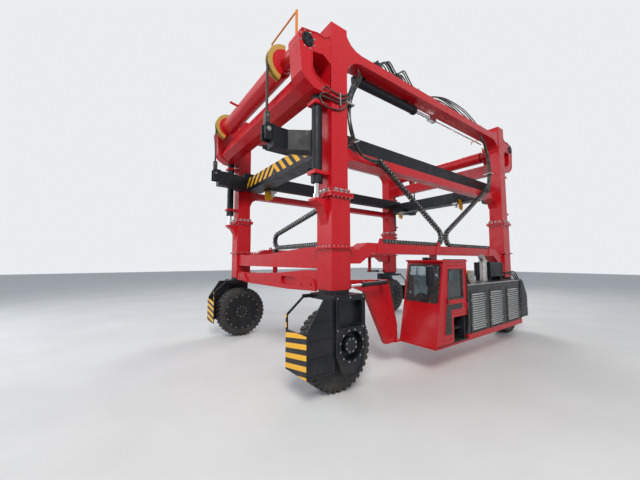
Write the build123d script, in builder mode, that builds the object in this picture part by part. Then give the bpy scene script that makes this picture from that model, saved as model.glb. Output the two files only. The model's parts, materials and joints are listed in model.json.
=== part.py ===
"""Gantry straddle carrier for 20 foot containers, millimetres.

+X is forward, +Y is left (cab side), +Z is up.
The origin is on the ground, midway between the four steering axes.
"""
from build123d import *
import os
from math import atan2, cos, degrees, hypot, pi, radians, sin

os.makedirs("parts", exist_ok=True)

# Plan of the four columns and wheels
AXLE_X = 3410.0
TRACK_Y = 2250.0
ENDS = (1, -1)
SIDES = (1, -1)

# Wheels
TYRE_D = 1400.0
TYRE_W = 390.0
RIM_D = 660.0
LUGS = 22
LUG_H = 26.0
WHEEL_Z = TYRE_D / 2

# Columns: sockets below, sliding columns inside them
COL = 370.0
SLIDE_GAP = 6.0
SOCKET_WALL = 20.0
SOCKET = COL + 2 * (SLIDE_GAP + SOCKET_WALL)
LEG_FOOT_Z = 1700.0
BASE_FLANGE_Z = 2430.0
SOCKET_TOP_Z = 3330.0
FLANGE_T = 34.0
FLANGE_LIP = 48.0
COLUMN_FOOT_Z = 1760.0
COLUMN_TOP_Z = 6500.0

# Lower frame
TIE_TOP_Z = 2545.0
TIE_H = 205.0
TIE_W = 300.0
LUG_XS = (2350.0, 330.0, -2350.0)
LUG_EYE_Z = 2590.0
LUG_EYE_R = 18.0
CROSS_W = 300.0
AXLE_W = 320.0

# Upper frame
TOP_BEAM_Z = 6190.0
TOP_BEAM_H = 185.0
TOP_BEAM_W = 340.0
MID_BEAM_Z = 4300.0
MID_BEAM_H = 180.0
MID_BEAM_W = 240.0
MID_BEAM_Y = 2165.0
EAR_X = 4090.0
EAR_Z = 5930.0
EAR_R = 185.0
TUBE_R = 195.0
SHAFT_R = 90.0
SHAFT_GAP = 6.0
SEAT_GAP = 0.3

# Hoisting quadrants and their leaf chains
CHAIN_Y = 1600.0
RIM_R = 330.0
CHAIN_T = 26.0
CHAIN_W = 70.0
CHAIN_X = EAR_X + RIM_R + CHAIN_T / 2

# Lifting frame
HOIST_TOP_Z = 4770.0
HOIST_SIDE_Y = 1830.0
HOIST_SIDE_W = 250.0
HOIST_SIDE_H = 340.0
HOIST_END_X = 3260.0
HOIST_END_W = 420.0
HOIST_END_H = 380.0
TWIST_X = 2926.5
TWIST_Y = 1129.5
TWIST_Z = 4090.0

# Cab and engine pod
POD_Y0 = 2200.0
POD_Y1 = 3050.0
POD_Z = 500.0
POD_REAR_X = -2600.0
CAB_REAR_X = 340.0
CAB_FRONT_X = 1570.0
CAB_TOP_Z = 2180.0
CAB_WALL = 40.0
HOOD_Z0 = 620.0
HOOD_Z1 = 1670.0

half_socket = SOCKET / 2
half_col = COL / 2
fit_hole = COL / 2 + SLIDE_GAP


# 1. Column sockets with the legs under them
with BuildPart() as column_sockets:
    for ex in ENDS:
        for sy in SIDES:
            x = ex * AXLE_X
            y = sy * TRACK_Y
            with Locations((x, y, (LEG_FOOT_Z + SOCKET_TOP_Z) / 2)):
                Box(SOCKET, SOCKET, SOCKET_TOP_Z - LEG_FOOT_Z)
            with Locations((x, y, BASE_FLANGE_Z), (x, y, SOCKET_TOP_Z), (x, y, SOCKET_TOP_Z + FLANGE_T + 8)):
                Box(SOCKET + 2 * FLANGE_LIP, SOCKET + 2 * FLANGE_LIP, FLANGE_T)
            with Locations((x, y, SOCKET_TOP_Z + 60)):
                Box(SOCKET, SOCKET, 160)
            # gusset and shelf that carry the lift rod
            with BuildSketch(Plane.XZ.offset(-y)):
                Polygon(
                    (x + ex * (half_socket - 5), 3120),
                    (x + ex * (half_socket - 5), SOCKET_TOP_Z - 60),
                    (x + ex * 470, SOCKET_TOP_Z - 60),
                    (x + ex * 470, SOCKET_TOP_Z - 100),
                    (x + ex * 330, SOCKET_TOP_Z - 190),
                    (x + ex * 250, SOCKET_TOP_Z - 330),
                    (x + ex * (half_socket - 5), SOCKET_TOP_Z - 520),
                    align=None,
                )
            extrude(amount=110, both=True)
            with Locations((x, y, (COLUMN_FOOT_Z + SOCKET_TOP_Z) / 2 + 200)):
                Box(2 * fit_hole, 2 * fit_hole, SOCKET_TOP_Z - COLUMN_FOOT_Z + 420, mode=Mode.SUBTRACT)
column_sockets.part.label = "column_sockets"
export_step(column_sockets.part, "parts/column_sockets.step")

# 2. Lower side ties with their raised ends
with BuildPart() as side_ties:
    for sy in SIDES:
        y = sy * TRACK_Y
        end_x = AXLE_X - half_socket
        with BuildSketch(Plane.XZ.offset(-y)):
            Polygon(
                (end_x, 2410), (2950, 2410), (2700, TIE_TOP_Z), (-2700, TIE_TOP_Z), (-2950, 2410), (-end_x, 2410),
                (-end_x, 2150), (-2900, 2150), (-2600, TIE_TOP_Z - TIE_H),
                (2600, TIE_TOP_Z - TIE_H), (2900, 2150), (end_x, 2150),
                align=None,
            )
        extrude(amount=TIE_W / 2, both=True)
        # triangular lugs on the outer face
        for lug_x in LUG_XS:
            with BuildSketch(Plane.XZ.offset(-(y + sy * (TIE_W / 2 + 8)))):
                Polygon((lug_x - 130, 2342), (lug_x + 130, 2342), (lug_x + 35, 2640), (lug_x - 35, 2640), align=None)
                with Locations((lug_x, LUG_EYE_Z)):
                    Circle(LUG_EYE_R, mode=Mode.SUBTRACT)
            extrude(amount=9, both=True)
side_ties.part.label = "side_ties"
export_step(side_ties.part, "parts/side_ties.step")

# 3. Upper front cross beam with haunches at the legs
cross_y = TRACK_Y - half_socket
with BuildPart() as front_cross_beam:
    with BuildSketch(Plane.YZ.offset(AXLE_X)):
        Polygon(
            (-cross_y, 2060), (-cross_y, 2400), (-1500, 2345), (0, 2370), (1500, 2455), (1965, 2455),
            (1990, 2410), (cross_y, 2410), (cross_y, 2060),
            align=None,
        )
    extrude(amount=CROSS_W / 2, both=True)
    for lug_y in (-1240, -1090):
        with BuildSketch(Plane.YZ.offset(AXLE_X + 60)):
            Polygon((lug_y - 45, 2330), (lug_y + 45, 2330), (lug_y + 20, 2440), (lug_y - 20, 2440), align=None)
        extrude(amount=12, both=True)
front_cross_beam.part.label = "front_cross_beam"
export_step(front_cross_beam.part, "parts/front_cross_beam.step")

# 4. Front axle beam with its window
with BuildPart() as front_axle_beam:
    with BuildSketch(Plane.YZ.offset(AXLE_X)):
        Polygon(
            (-cross_y, 1720), (-cross_y, 1900), (-1300, 1870), (400, 1930), (1500, 2020), (cross_y, 2020), (cross_y, 1720),
            (1700, 1640), (900, 1610), (-1500, 1610), (-1800, 1660),
            align=None,
        )
    extrude(amount=AXLE_W / 2, both=True)
    with BuildSketch(Plane.YZ.offset(AXLE_X + AXLE_W / 2)):
        with Locations((900, 1790)):
            RectangleRounded(620, 170, 60)
    extrude(amount=60, both=True, mode=Mode.SUBTRACT)
    # bolted brackets of the steering cylinders
    for sy in SIDES:
        with BuildSketch(Plane.YZ.offset(AXLE_X + AXLE_W / 2 + 20)):
            Polygon(
                (sy * 1980, 1650), (sy * 1900, 1860), (sy * 1500, 1860), (sy * 1250, 1650), align=None)
            with Locations((sy * 1820, 1760), (sy * 1500, 1740)):
                Circle(24, mode=Mode.SUBTRACT)
        extrude(amount=21, both=True)
front_axle_beam.part.label = "front_axle_beam"
export_step(front_axle_beam.part, "parts/front_axle_beam.step")

# 5. Pod frame: tray with rails, hangers up to the legs and the side tie
with BuildPart() as pod_frame:
    pod_mid_y = (POD_Y0 + POD_Y1) / 2
    pod_w = POD_Y1 - POD_Y0
    with Locations(((POD_REAR_X + CAB_FRONT_X) / 2, pod_mid_y, POD_Z + 22)):
        Box(CAB_FRONT_X - POD_REAR_X, pod_w, 44)
    rail_len = CAB_REAR_X - POD_REAR_X
    with Locations(
        ((POD_REAR_X + CAB_REAR_X) / 2, POD_Y1 - 30, POD_Z + 60),
        ((POD_REAR_X + CAB_REAR_X) / 2, POD_Y0 + 30, POD_Z + 60),
    ):
        Box(rail_len, 60, 120)
    with Locations((POD_REAR_X + 30, pod_mid_y, POD_Z + 60)):
        Box(60, pod_w, 120)
    # front hanger, leg to cab tray
    with BuildSketch(Plane.XZ.offset(-(TRACK_Y - 110))):
        Polygon(
            (AXLE_X - half_socket, 1850), (1900, 1810), (1640, 860), (1640, POD_Z), (1990, POD_Z), (2150, 800),
            (2560, 1590), (2950, 1720), (AXLE_X - half_socket, 1720),
            align=None,
        )
    extrude(amount=55, both=True)
    with Locations((1640, 2170, POD_Z + 22)):
        Box(200, 120, 44)
    # rear hanger
    with BuildSketch(Plane.XZ.offset(-(TRACK_Y - 110))):
        Polygon(
            (-AXLE_X + half_socket, 1850), (-2250, 1850), (-2250, POD_Z), (-2450, POD_Z), (-2450, 1640),
            (-2700, 1720), (-AXLE_X + half_socket, 1720),
            align=None,
        )
    extrude(amount=55, both=True)
    with Locations((-2350, 2170, POD_Z + 60)):
        Box(200, 80, 120)
    # post up to the side tie
    with Locations((150, TRACK_Y - 110, (POD_Z + TIE_TOP_Z - TIE_H) / 2)):
        Box(160, 110, TIE_TOP_Z - TIE_H - POD_Z)
    with Locations((150, 2170, POD_Z + 60)):
        Box(160, 80, 120)
pod_frame.part.label = "pod_frame"
export_step(pod_frame.part, "parts/pod_frame.step")

# 6. Cab shell: sheet walls with the window and door openings
cab_z0 = POD_Z + 44
front_low = (CAB_FRONT_X, cab_z0)
front_mid = (1400.0, 1340.0)
front_top = (1245.0, CAB_TOP_Z)
STEP_X = 930.0
STEP_Z = 1050.0
STEP_Y = 2700.0
HINGE_X = CAB_REAR_X + 60
HINGE_Y = POD_Y1 + 13
HINGE_R = 12.0
HINGE_ZS = (1250.0, 1980.0)
door_outline = (
    (1345.0, 640.0), (STEP_X + 50, 640.0), (STEP_X + 50, STEP_Z + 60), (CAB_REAR_X + 70, STEP_Z + 60),
    (CAB_REAR_X + 70, 2110.0), (1165.0, 2110.0), (1250.0, 1340.0),
)
with BuildPart() as cab_shell:
    with BuildSketch(Plane.XZ.offset(-pod_mid_y)):
        Polygon((CAB_REAR_X, cab_z0), front_low, front_mid, front_top, (CAB_REAR_X, CAB_TOP_Z), align=None)
    extrude(amount=pod_w / 2, both=True)
    # step recess
    with Locations(((CAB_REAR_X + STEP_X) / 2, (STEP_Y + POD_Y1) / 2 + 50, (cab_z0 + STEP_Z) / 2)):
        Box(STEP_X - CAB_REAR_X, POD_Y1 - STEP_Y + 100, STEP_Z - cab_z0, mode=Mode.SUBTRACT)
    w = CAB_WALL
    with BuildSketch(Plane.XZ.offset(-pod_mid_y)):
        Polygon(
            (CAB_REAR_X + w, STEP_Z + w), (1425, STEP_Z + w), (1357, 1340), (1207, CAB_TOP_Z + 1),
            (CAB_REAR_X + w, CAB_TOP_Z + 1),
            align=None,
        )
    extrude(amount=pod_w / 2 - w, both=True, mode=Mode.SUBTRACT)
    with BuildSketch(Plane.XZ.offset(-(POD_Y0 + STEP_Y) / 2)):
        Polygon((CAB_REAR_X + w, cab_z0 + w), (1520, cab_z0 + w), (1425, STEP_Z + w + 1), (CAB_REAR_X + w, STEP_Z + w + 1), align=None)
    extrude(amount=(STEP_Y - POD_Y0) / 2 - w, both=True, mode=Mode.SUBTRACT)
    with BuildSketch(Plane.XZ.offset(-pod_mid_y)):
        Polygon((STEP_X + w, cab_z0 + w), (1520, cab_z0 + w), (1425, STEP_Z + w + 1), (STEP_X + w, STEP_Z + w + 1), align=None)
    extrude(amount=pod_w / 2 - w, both=True, mode=Mode.SUBTRACT)
    # door opening through the outer wall
    with BuildSketch(Plane.XZ.offset(-(POD_Y1 - w / 2))):
        Polygon(*door_outline, align=None)
    extrude(amount=w / 2 + 2, both=True, mode=Mode.SUBTRACT)
    # windscreen opening
    with BuildSketch(Plane.YZ.offset(1300)):
        with Locations((pod_mid_y, 1740)):
            RectangleRounded(pod_w - 130, 720, 40)
    extrude(amount=200, both=True, mode=Mode.SUBTRACT)
    # inner side window and rear window
    with BuildSketch(Plane.XZ.offset(-(POD_Y0 + w / 2))):
        with Locations((760, 1740)):
            RectangleRounded(640, 660, 40)
    extrude(amount=w, both=True, mode=Mode.SUBTRACT)
    with BuildSketch(Plane.YZ.offset(CAB_REAR_X + w / 2)):
        with Locations((pod_mid_y, 1920)):
            RectangleRounded(560, 300, 40)
    extrude(amount=w, both=True, mode=Mode.SUBTRACT)
    # lower halves of the door hinges
    for knuckle_z in HINGE_ZS:
        with Locations((HINGE_X - 14, POD_Y1 + 3, knuckle_z - 30)):
            Box(44, 6, 60)
        with Locations((HINGE_X, HINGE_Y, knuckle_z - 30)):
            Cylinder(HINGE_R, 60)
cab_shell.part.label = "cab_shell"
export_step(cab_shell.part, "parts/cab_shell.step")

# 7. Cab roof
with BuildPart() as cab_roof:
    with BuildSketch(Plane.XY.offset(CAB_TOP_Z)):
        with Locations(((CAB_REAR_X + 1300) / 2 - 15, pod_mid_y)):
            RectangleRounded(1300 - CAB_REAR_X + 40, pod_w + 40, 40)
    extrude(amount=38)
cab_roof.part.label = "cab_roof"
export_step(cab_roof.part, "parts/cab_roof.step")

# 8. Cab glass: windscreen, inner side pane and rear pane
GLASS_GAP = 0.3
with BuildPart() as cab_glass:
    with BuildSketch(Plane.YZ.offset(1300)):
        with Locations((pod_mid_y, 1740)):
            RectangleRounded(pod_w - 130 - 2 * GLASS_GAP, 720 - 2 * GLASS_GAP, 40 - GLASS_GAP)
    extrude(amount=200, both=True)
    with BuildSketch(Plane.XZ.offset(-pod_mid_y)):
        Polygon((1380, 1340), (1390, 1340), (1235, 2180), (1225, 2180), align=None)
    extrude(amount=pod_w / 2, both=True, mode=Mode.INTERSECT)
    with BuildSketch(Plane.XZ.offset(-(POD_Y0 + w / 2))):
        with Locations((760, 1740)):
            RectangleRounded(640 - 2 * GLASS_GAP, 660 - 2 * GLASS_GAP, 40 - GLASS_GAP)
    extrude(amount=4, both=True)
    with BuildSketch(Plane.YZ.offset(CAB_REAR_X + w / 2)):
        with Locations((pod_mid_y, 1920)):
            RectangleRounded(560 - 2 * GLASS_GAP, 300 - 2 * GLASS_GAP, 40 - GLASS_GAP)
    extrude(amount=4, both=True)
cab_glass.part.label = "cab_glass"
export_step(cab_glass.part, "parts/cab_glass.step")

# 9. Cab door with its window opening
door_inner = (
    (1338.0, 646.0), (STEP_X + 56, 646.0), (STEP_X + 56, STEP_Z + 66), (CAB_REAR_X + 76, STEP_Z + 66),
    (CAB_REAR_X + 76, 2104.0), (1159.0, 2104.0), (1243.0, 1340.0),
)
with BuildPart() as cab_door:
    with BuildSketch(Plane.XZ.offset(-(POD_Y1 - w / 2))):
        Polygon(*door_inner, align=None)
        Polygon((530, 1440), (530, 2010), (1060, 2010), (1110, 1440), align=None, mode=Mode.SUBTRACT)
    extrude(amount=w / 2, both=True)
    # raised L shaped lower panel
    with BuildSketch(Plane.XZ.offset(-(POD_Y1 + 4))):
        Polygon(
            (1200, 1340), (560, 1340), (560, 1190), (1000, 1190), (1000, 720), (1290, 720), align=None)
    extrude(amount=6, both=True)
    # handle
    with Locations((1120, POD_Y1 + 22, 1395)):
        Box(120, 44, 24)
    # upper halves of the hinges
    for knuckle_z in HINGE_ZS:
        with Locations((HINGE_X + 40, HINGE_Y - 9, knuckle_z + 30 + SEAT_GAP)):
            Box(80, 6, 60)
        with Locations((HINGE_X, HINGE_Y, knuckle_z + 30 + SEAT_GAP)):
            Cylinder(HINGE_R, 60)
        with Locations((HINGE_X + 60, POD_Y1 + 4, knuckle_z + 30 + SEAT_GAP)):
            Box(40, 10, 60)
cab_door.part.label = "cab_door"
export_step(cab_door.part, "parts/cab_door.step")

with BuildPart() as door_glass:
    with BuildSketch(Plane.XZ.offset(-(POD_Y1 - w / 2))):
        Polygon((530.3, 1440.3), (530.3, 2009.7), (1059.7, 2009.7), (1109.6, 1440.3), align=None)
    extrude(amount=4, both=True)
door_glass.part.label = "door_glass"
export_step(door_glass.part, "parts/door_glass.step")

# 10. Seat and console inside the cab
with BuildPart() as cab_interior:
    with Locations((760, 2450, (cab_z0 + w + 1000) / 2)):
        Box(300, 300, 1000 - cab_z0 - w)
    with Locations((760, 2450, 1060)):
        Box(460, 400, 130)
    with BuildSketch(Plane.XZ.offset(-2450)):
        Polygon((520, 1100), (640, 1100), (580, 1760), (490, 1760), align=None)
    extrude(amount=195, both=True)
    with BuildSketch(Plane.XZ.offset(-2620)):
        Polygon((1290, cab_z0 + w), (1400, cab_z0 + w), (1330, 1250), (1200, 1300), (1170, 1250), (1270, 1180), align=None)
    extrude(amount=150, both=True)
    with Locations(Location((1165, 2450, 1340), (0, 60, 0))):
        Cylinder(180, 26)
    with Locations(Location((1215, 2450, 1280), (0, 60, 0))):
        Cylinder(30, 160)
    with Locations((1290, 2450, (cab_z0 + w + 1230) / 2)):
        Box(80, 120, 1230 - cab_z0 - w)
cab_interior.part.label = "cab_interior"
export_step(cab_interior.part, "parts/cab_interior.step")

# 11. Steps, handrails and mirror
with BuildPart() as cab_steps:
    step_mid = (CAB_REAR_X + STEP_X) / 2
    with Locations((step_mid + 100, 2950, 560), (step_mid + 100, 2900, 800)):
        Box(STEP_X - CAB_REAR_X - 230, 180, 30)
    with Locations((step_mid + 100, 2705, 795)):
        Box(STEP_X - CAB_REAR_X - 230, 10, 500)
    with Locations((CAB_REAR_X + 150, 2870, 795), (STEP_X - 15, 2870, 795)):
        Box(30, 340, 500)
cab_steps.part.label = "cab_steps"
export_step(cab_steps.part, "parts/cab_steps.step")

# 12. Engine hood with pressed louvres
louvre_panels = ((-165.0, 590.0), (-1080.0, 580.0), (-2035.0, 570.0))
with BuildPart() as engine_hood:
    hood_x0 = POD_REAR_X + 80
    hood_x1 = CAB_REAR_X - 20
    with Locations(((hood_x0 + hood_x1) / 2, pod_mid_y, (HOOD_Z0 + HOOD_Z1) / 2)):
        Box(hood_x1 - hood_x0, pod_w - 40, HOOD_Z1 - HOOD_Z0)
    with Locations(((hood_x0 + hood_x1) / 2, pod_mid_y, (HOOD_Z0 + HOOD_Z1) / 2 - 30)):
        Box(hood_x1 - hood_x0 - 60, pod_w - 100, HOOD_Z1 - HOOD_Z0, mode=Mode.SUBTRACT)
    for panel_x, panel_w in louvre_panels:
        with BuildSketch(Plane.YZ.offset(panel_x)):
            for row in range(16):
                row_z = 690 + row * 50
                Polygon((POD_Y1 - 22, row_z), (POD_Y1 + 2, row_z), (POD_Y1 - 22, row_z + 36), align=None)
        extrude(amount=panel_w / 2 - 30, both=True)
engine_hood.part.label = "engine_hood"
export_step(engine_hood.part, "parts/engine_hood.step")

# 13. Engine as one plain block
with BuildPart() as engine_block:
    with Locations((-1100, pod_mid_y, POD_Z + 44 + 430)):
        Box(2000, 560, 860)
engine_block.part.label = "engine_block"
export_step(engine_block.part, "parts/engine_block.step")

# 14. Gear on the hood: filter, exhaust and a cooler box
with BuildPart() as exhaust_pipe:
    with BuildSketch(Plane.XY.offset(HOOD_Z1)):
        with Locations((-1450, 2600)):
            Circle(85)
    extrude(amount=540)
    with Locations(Location((-1400, 2600, HOOD_Z1 + 585), (0, 40, 0))):
        Cylinder(75, 190)
exhaust_pipe.part.label = "exhaust_pipe"
export_step(exhaust_pipe.part, "parts/exhaust_pipe.step")

with BuildPart() as cooler_box:
    with Locations((-2020, 2480, HOOD_Z1 + 300)):
        Box(760, 420, 380)
    with Locations((-1700, 2480, HOOD_Z1 + 56), (-2340, 2480, HOOD_Z1 + 56)):
        Box(60, 380, 112)
cooler_box.part.label = "cooler_box"
export_step(cooler_box.part, "parts/cooler_box.step")

with BuildPart() as air_filter:
    with Locations(Location((-150, 2720, HOOD_Z1 + 165), (90, 0, 0))):
        Cylinder(140, 380)
    with Locations((-150, 2720, HOOD_Z1 + 30)):
        Box(160, 260, 60)
air_filter.part.label = "air_filter"
export_step(air_filter.part, "parts/air_filter.step")

# 15. Lift rods standing on the socket shelves
LIFT_X = AXLE_X + 370.0
SHELF_Z = SOCKET_TOP_Z - 60.0
BARREL_FOOT_Z = 3590.0
BARREL_TOP_Z = 5070.0
HEAD_FOOT_Z = 5110.0
with BuildPart() as lift_rods:
    for ex in ENDS:
        for sy in SIDES:
            rod_top = BARREL_TOP_Z - 20 - SEAT_GAP
            with Locations((ex * LIFT_X, sy * TRACK_Y, (SHELF_Z + rod_top) / 2)):
                Cylinder(45, rod_top - SHELF_Z)
            with Locations((ex * LIFT_X, sy * TRACK_Y, SHELF_Z + 40)):
                Cylinder(66, 80)
lift_rods.part.label = "lift_rods"
export_step(lift_rods.part, "parts/lift_rods.step")

# 16. Lift cylinder barrels on the upper frame
with BuildPart() as lift_barrels:
    for ex in ENDS:
        for sy in SIDES:
            with BuildSketch(Plane.XY.offset(BARREL_FOOT_Z)):
                with Locations((ex * LIFT_X, sy * TRACK_Y)):
                    Circle(92)
                    Circle(50, mode=Mode.SUBTRACT)
            extrude(amount=BARREL_TOP_Z - BARREL_FOOT_Z)
            cap_top = HEAD_FOOT_Z - SEAT_GAP
            with Locations((ex * LIFT_X, sy * TRACK_Y, (BARREL_TOP_Z - 20 + cap_top) / 2)):
                Cylinder(92, cap_top - BARREL_TOP_Z + 20)
            with BuildSketch(Plane.XY.offset(BARREL_FOOT_Z - 40)):
                with Locations((ex * LIFT_X, sy * TRACK_Y)):
                    Circle(104)
                    Circle(50, mode=Mode.SUBTRACT)
            extrude(amount=120)
lift_barrels.part.label = "lift_barrels"
export_step(lift_barrels.part, "parts/lift_barrels.step")

# 17. Sliding columns
with BuildPart() as upper_columns:
    for ex in ENDS:
        for sy in SIDES:
            with BuildSketch(Plane.XY.offset(COLUMN_FOOT_Z)):
                with Locations((ex * AXLE_X, sy * TRACK_Y)):
                    Rectangle(COL, COL)
            extrude(amount=COLUMN_TOP_Z - COLUMN_FOOT_Z)
            # clamp plates that tie the lift barrel to the column
            clamp_in = AXLE_X + half_col - 2
            clamp_out = LIFT_X + 122
            for clamp_z in (3720, 4960):
                with Locations((ex * (clamp_in + clamp_out) / 2, sy * TRACK_Y, clamp_z)):
                    Box(clamp_out - clamp_in, 236, 60)
                with Locations((ex * LIFT_X, sy * TRACK_Y, clamp_z)):
                    Cylinder(92 + SEAT_GAP, 80, mode=Mode.SUBTRACT)
upper_columns.part.label = "upper_columns"
export_step(upper_columns.part, "parts/upper_columns.step")

# 18. Column heads: C shaped brackets that carry the torque tubes
head_outline = (
    (AXLE_X + half_col, 6230.0), (3740.0, 6130.0), (3890.0, 6150.0), (4010.0, 6120.0), (EAR_X + 120, 6085.0),
    (4268.0, 5990.0), (4275.0, EAR_Z), (4250.0, 5760.0), (4215.0, 5340.0), (4140.0, 5240.0), (3960.0, 5130.0),
    (3760.0, HEAD_FOOT_Z), (AXLE_X + half_col, HEAD_FOOT_Z),
)
head_hole = (
    (AXLE_X + half_col + 25, 5690.0), (3700.0, 5760.0), (3770.0, 5795.0), (3990.0, 5760.0), (3985.0, 5480.0),
    (3930.0, 5380.0), (3800.0, 5300.0), (AXLE_X + half_col + 25, 5270.0),
)
HEAD_HALF = 165.0
with BuildPart() as column_heads:
    for ex in ENDS:
        for sy in SIDES:
            y = sy * TRACK_Y
            with BuildSketch(Plane.XZ.offset(-y)):
                Polygon(*[(ex * px, pz) for px, pz in head_outline], align=None)
                with Locations((ex * EAR_X, EAR_Z)):
                    Circle(EAR_R)
            extrude(amount=HEAD_HALF, both=True)
            # pocket open to the outside, the inner web stays
            with BuildSketch(Plane.XZ.offset(-(y + sy * 20))):
                Polygon(*[(ex * px, pz) for px, pz in head_hole], align=None)
            extrude(amount=HEAD_HALF - 10, both=True, mode=Mode.SUBTRACT)
            with Locations(Location((ex * EAR_X, y, EAR_Z), (90, 0, 0))):
                Cylinder(SHAFT_R + SHAFT_GAP, 2 * HEAD_HALF + 20, mode=Mode.SUBTRACT)
column_heads.part.label = "column_heads"
export_step(column_heads.part, "parts/column_heads.step")

# 19. Top side beams with curved gussets into the columns
with BuildPart() as top_side_beams:
    for sy in SIDES:
        x1 = AXLE_X - half_col
        z1 = TOP_BEAM_Z
        z0 = TOP_BEAM_Z - TOP_BEAM_H
        with BuildSketch(Plane.XZ.offset(-sy * TRACK_Y)):
            Polygon(
                (x1, 6440), (x1 - 40, 6370), (x1 - 120, 6280), (x1 - 250, 6215), (x1 - 400, z1),
                (-x1 + 400, z1), (-x1 + 250, 6215), (-x1 + 120, 6280), (-x1 + 40, 6370), (-x1, 6440),
                (-x1, 5660), (-x1 + 40, 5780), (-x1 + 110, 5880), (-x1 + 220, 5960), (-x1 + 380, z0),
                (x1 - 380, z0), (x1 - 220, 5960), (x1 - 110, 5880), (x1 - 40, 5780), (x1, 5660),
                align=None,
            )
        extrude(amount=TOP_BEAM_W / 2, both=True)
top_side_beams.part.label = "top_side_beams"
export_step(top_side_beams.part, "parts/top_side_beams.step")

# 20. Middle side beams with gussets
with BuildPart() as mid_side_beams:
    for sy in SIDES:
        z1 = MID_BEAM_Z
        z0 = MID_BEAM_Z - MID_BEAM_H
        with BuildSketch(Plane.XZ.offset(-sy * MID_BEAM_Y)):
            Polygon(
                (x1, z1 + 130), (x1 - 60, z1 + 60), (x1 - 260, z1),
                (-x1 + 260, z1), (-x1 + 60, z1 + 60), (-x1, z1 + 130),
                (-x1, z0 - 240), (-x1 + 60, z0 - 110), (-x1 + 260, z0),
                (x1 - 260, z0), (x1 - 60, z0 - 110), (x1, z0 - 240),
                align=None,
            )
        extrude(amount=MID_BEAM_W / 2, both=True)
mid_side_beams.part.label = "mid_side_beams"
export_step(mid_side_beams.part, "parts/mid_side_beams.step")

# 21. Box beams across the two ends, between the column heads
BOX_X0 = 3790.0
BOX_X1 = 4010.0
with BuildPart() as end_box_beams:
    for ex in ENDS:
        with BuildSketch(Plane.XZ):
            Polygon(
                (ex * 3720, 5500), (ex * 4030, 5560), (ex * 4120, 5260), (ex * 3960, 5140), (ex * 3720, 5130),
                align=None)
        extrude(amount=TRACK_Y - HEAD_HALF, both=True)
end_box_beams.part.label = "end_box_beams"
export_step(end_box_beams.part, "parts/end_box_beams.step")

# 22. Hoist cylinder barrels under the top side beams
HOIST_CYL_Y = 2120.0
HOIST_CYL_Z = 5880.0
HOIST_FRONT_X = 2640.0
HOIST_REAR_X = 780.0
with BuildPart() as hoist_barrels:
    for sy in SIDES:
        y = sy * HOIST_CYL_Y
        with BuildSketch(Plane.YZ.offset(HOIST_REAR_X)):
            with Locations((y, HOIST_CYL_Z)):
                Circle(92)
                Circle(48, mode=Mode.SUBTRACT)
        extrude(amount=HOIST_FRONT_X - HOIST_REAR_X)
        with Locations(Location((HOIST_FRONT_X + 20, y, HOIST_CYL_Z), (0, 90, 0))):
            Cylinder(92, 60)
        with Locations((HOIST_FRONT_X + 100, y, HOIST_CYL_Z)):
            Box(140, 60, 120)
        with BuildSketch(Plane.YZ.offset(HOIST_REAR_X - 30)):
            with Locations((y, HOIST_CYL_Z)):
                Circle(104)
                Circle(42 + SEAT_GAP, mode=Mode.SUBTRACT)
        extrude(amount=90)
        # saddles under the beam
        for saddle_x in (HOIST_FRONT_X - 120, 1100):
            with Locations((saddle_x, y, (HOIST_CYL_Z + TOP_BEAM_Z - TOP_BEAM_H) / 2 + 44)):
                Box(90, 120, TOP_BEAM_Z - TOP_BEAM_H - HOIST_CYL_Z - 88)
hoist_barrels.part.label = "hoist_barrels"
export_step(hoist_barrels.part, "parts/hoist_barrels.step")

# 23. Hoist rods with clevis and tie bar
with BuildPart() as hoist_rods:
    for sy in SIDES:
        y = sy * HOIST_CYL_Y
        with Locations(Location((1275, y, HOIST_CYL_Z), (0, 90, 0))):
            Cylinder(42, 2250)
        with Locations((20, y, HOIST_CYL_Z)):
            Box(280, 110, 120)
        with Locations(Location((-1400, y, HOIST_CYL_Z), (0, 90, 0))):
            Cylinder(18, 2600)
hoist_rods.part.label = "hoist_rods"
export_step(hoist_rods.part, "parts/hoist_rods.step")

# 24. Torque tubes with their shafts, one node for each end
tube_half = TRACK_Y - HEAD_HALF - 12
with BuildPart() as front_torque_tube:
    with Locations(Location((EAR_X, 0, EAR_Z), (90, 0, 0))):
        Cylinder(TUBE_R, 2 * (CHAIN_Y - 90))
        Cylinder(SHAFT_R, 2 * (TRACK_Y + HEAD_HALF - 0.3))
        Cylinder(SHAFT_R + 40, 2 * tube_half)
    with Locations(Location((EAR_X + 215, -430, EAR_Z + 80), (0, 80, 0))):
        Cylinder(28, 300)
front_torque_tube.part.label = "front_torque_tube"
export_step(front_torque_tube.part, "parts/front_torque_tube.step")

with BuildPart() as rear_torque_tube:
    with Locations(Location((-EAR_X, 0, EAR_Z), (90, 0, 0))):
        Cylinder(TUBE_R, 2 * (CHAIN_Y - 90))
        Cylinder(SHAFT_R, 2 * (TRACK_Y + HEAD_HALF - 0.3))
        Cylinder(SHAFT_R + 40, 2 * tube_half)
rear_torque_tube.part.label = "rear_torque_tube"
export_step(rear_torque_tube.part, "parts/rear_torque_tube.step")

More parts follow.
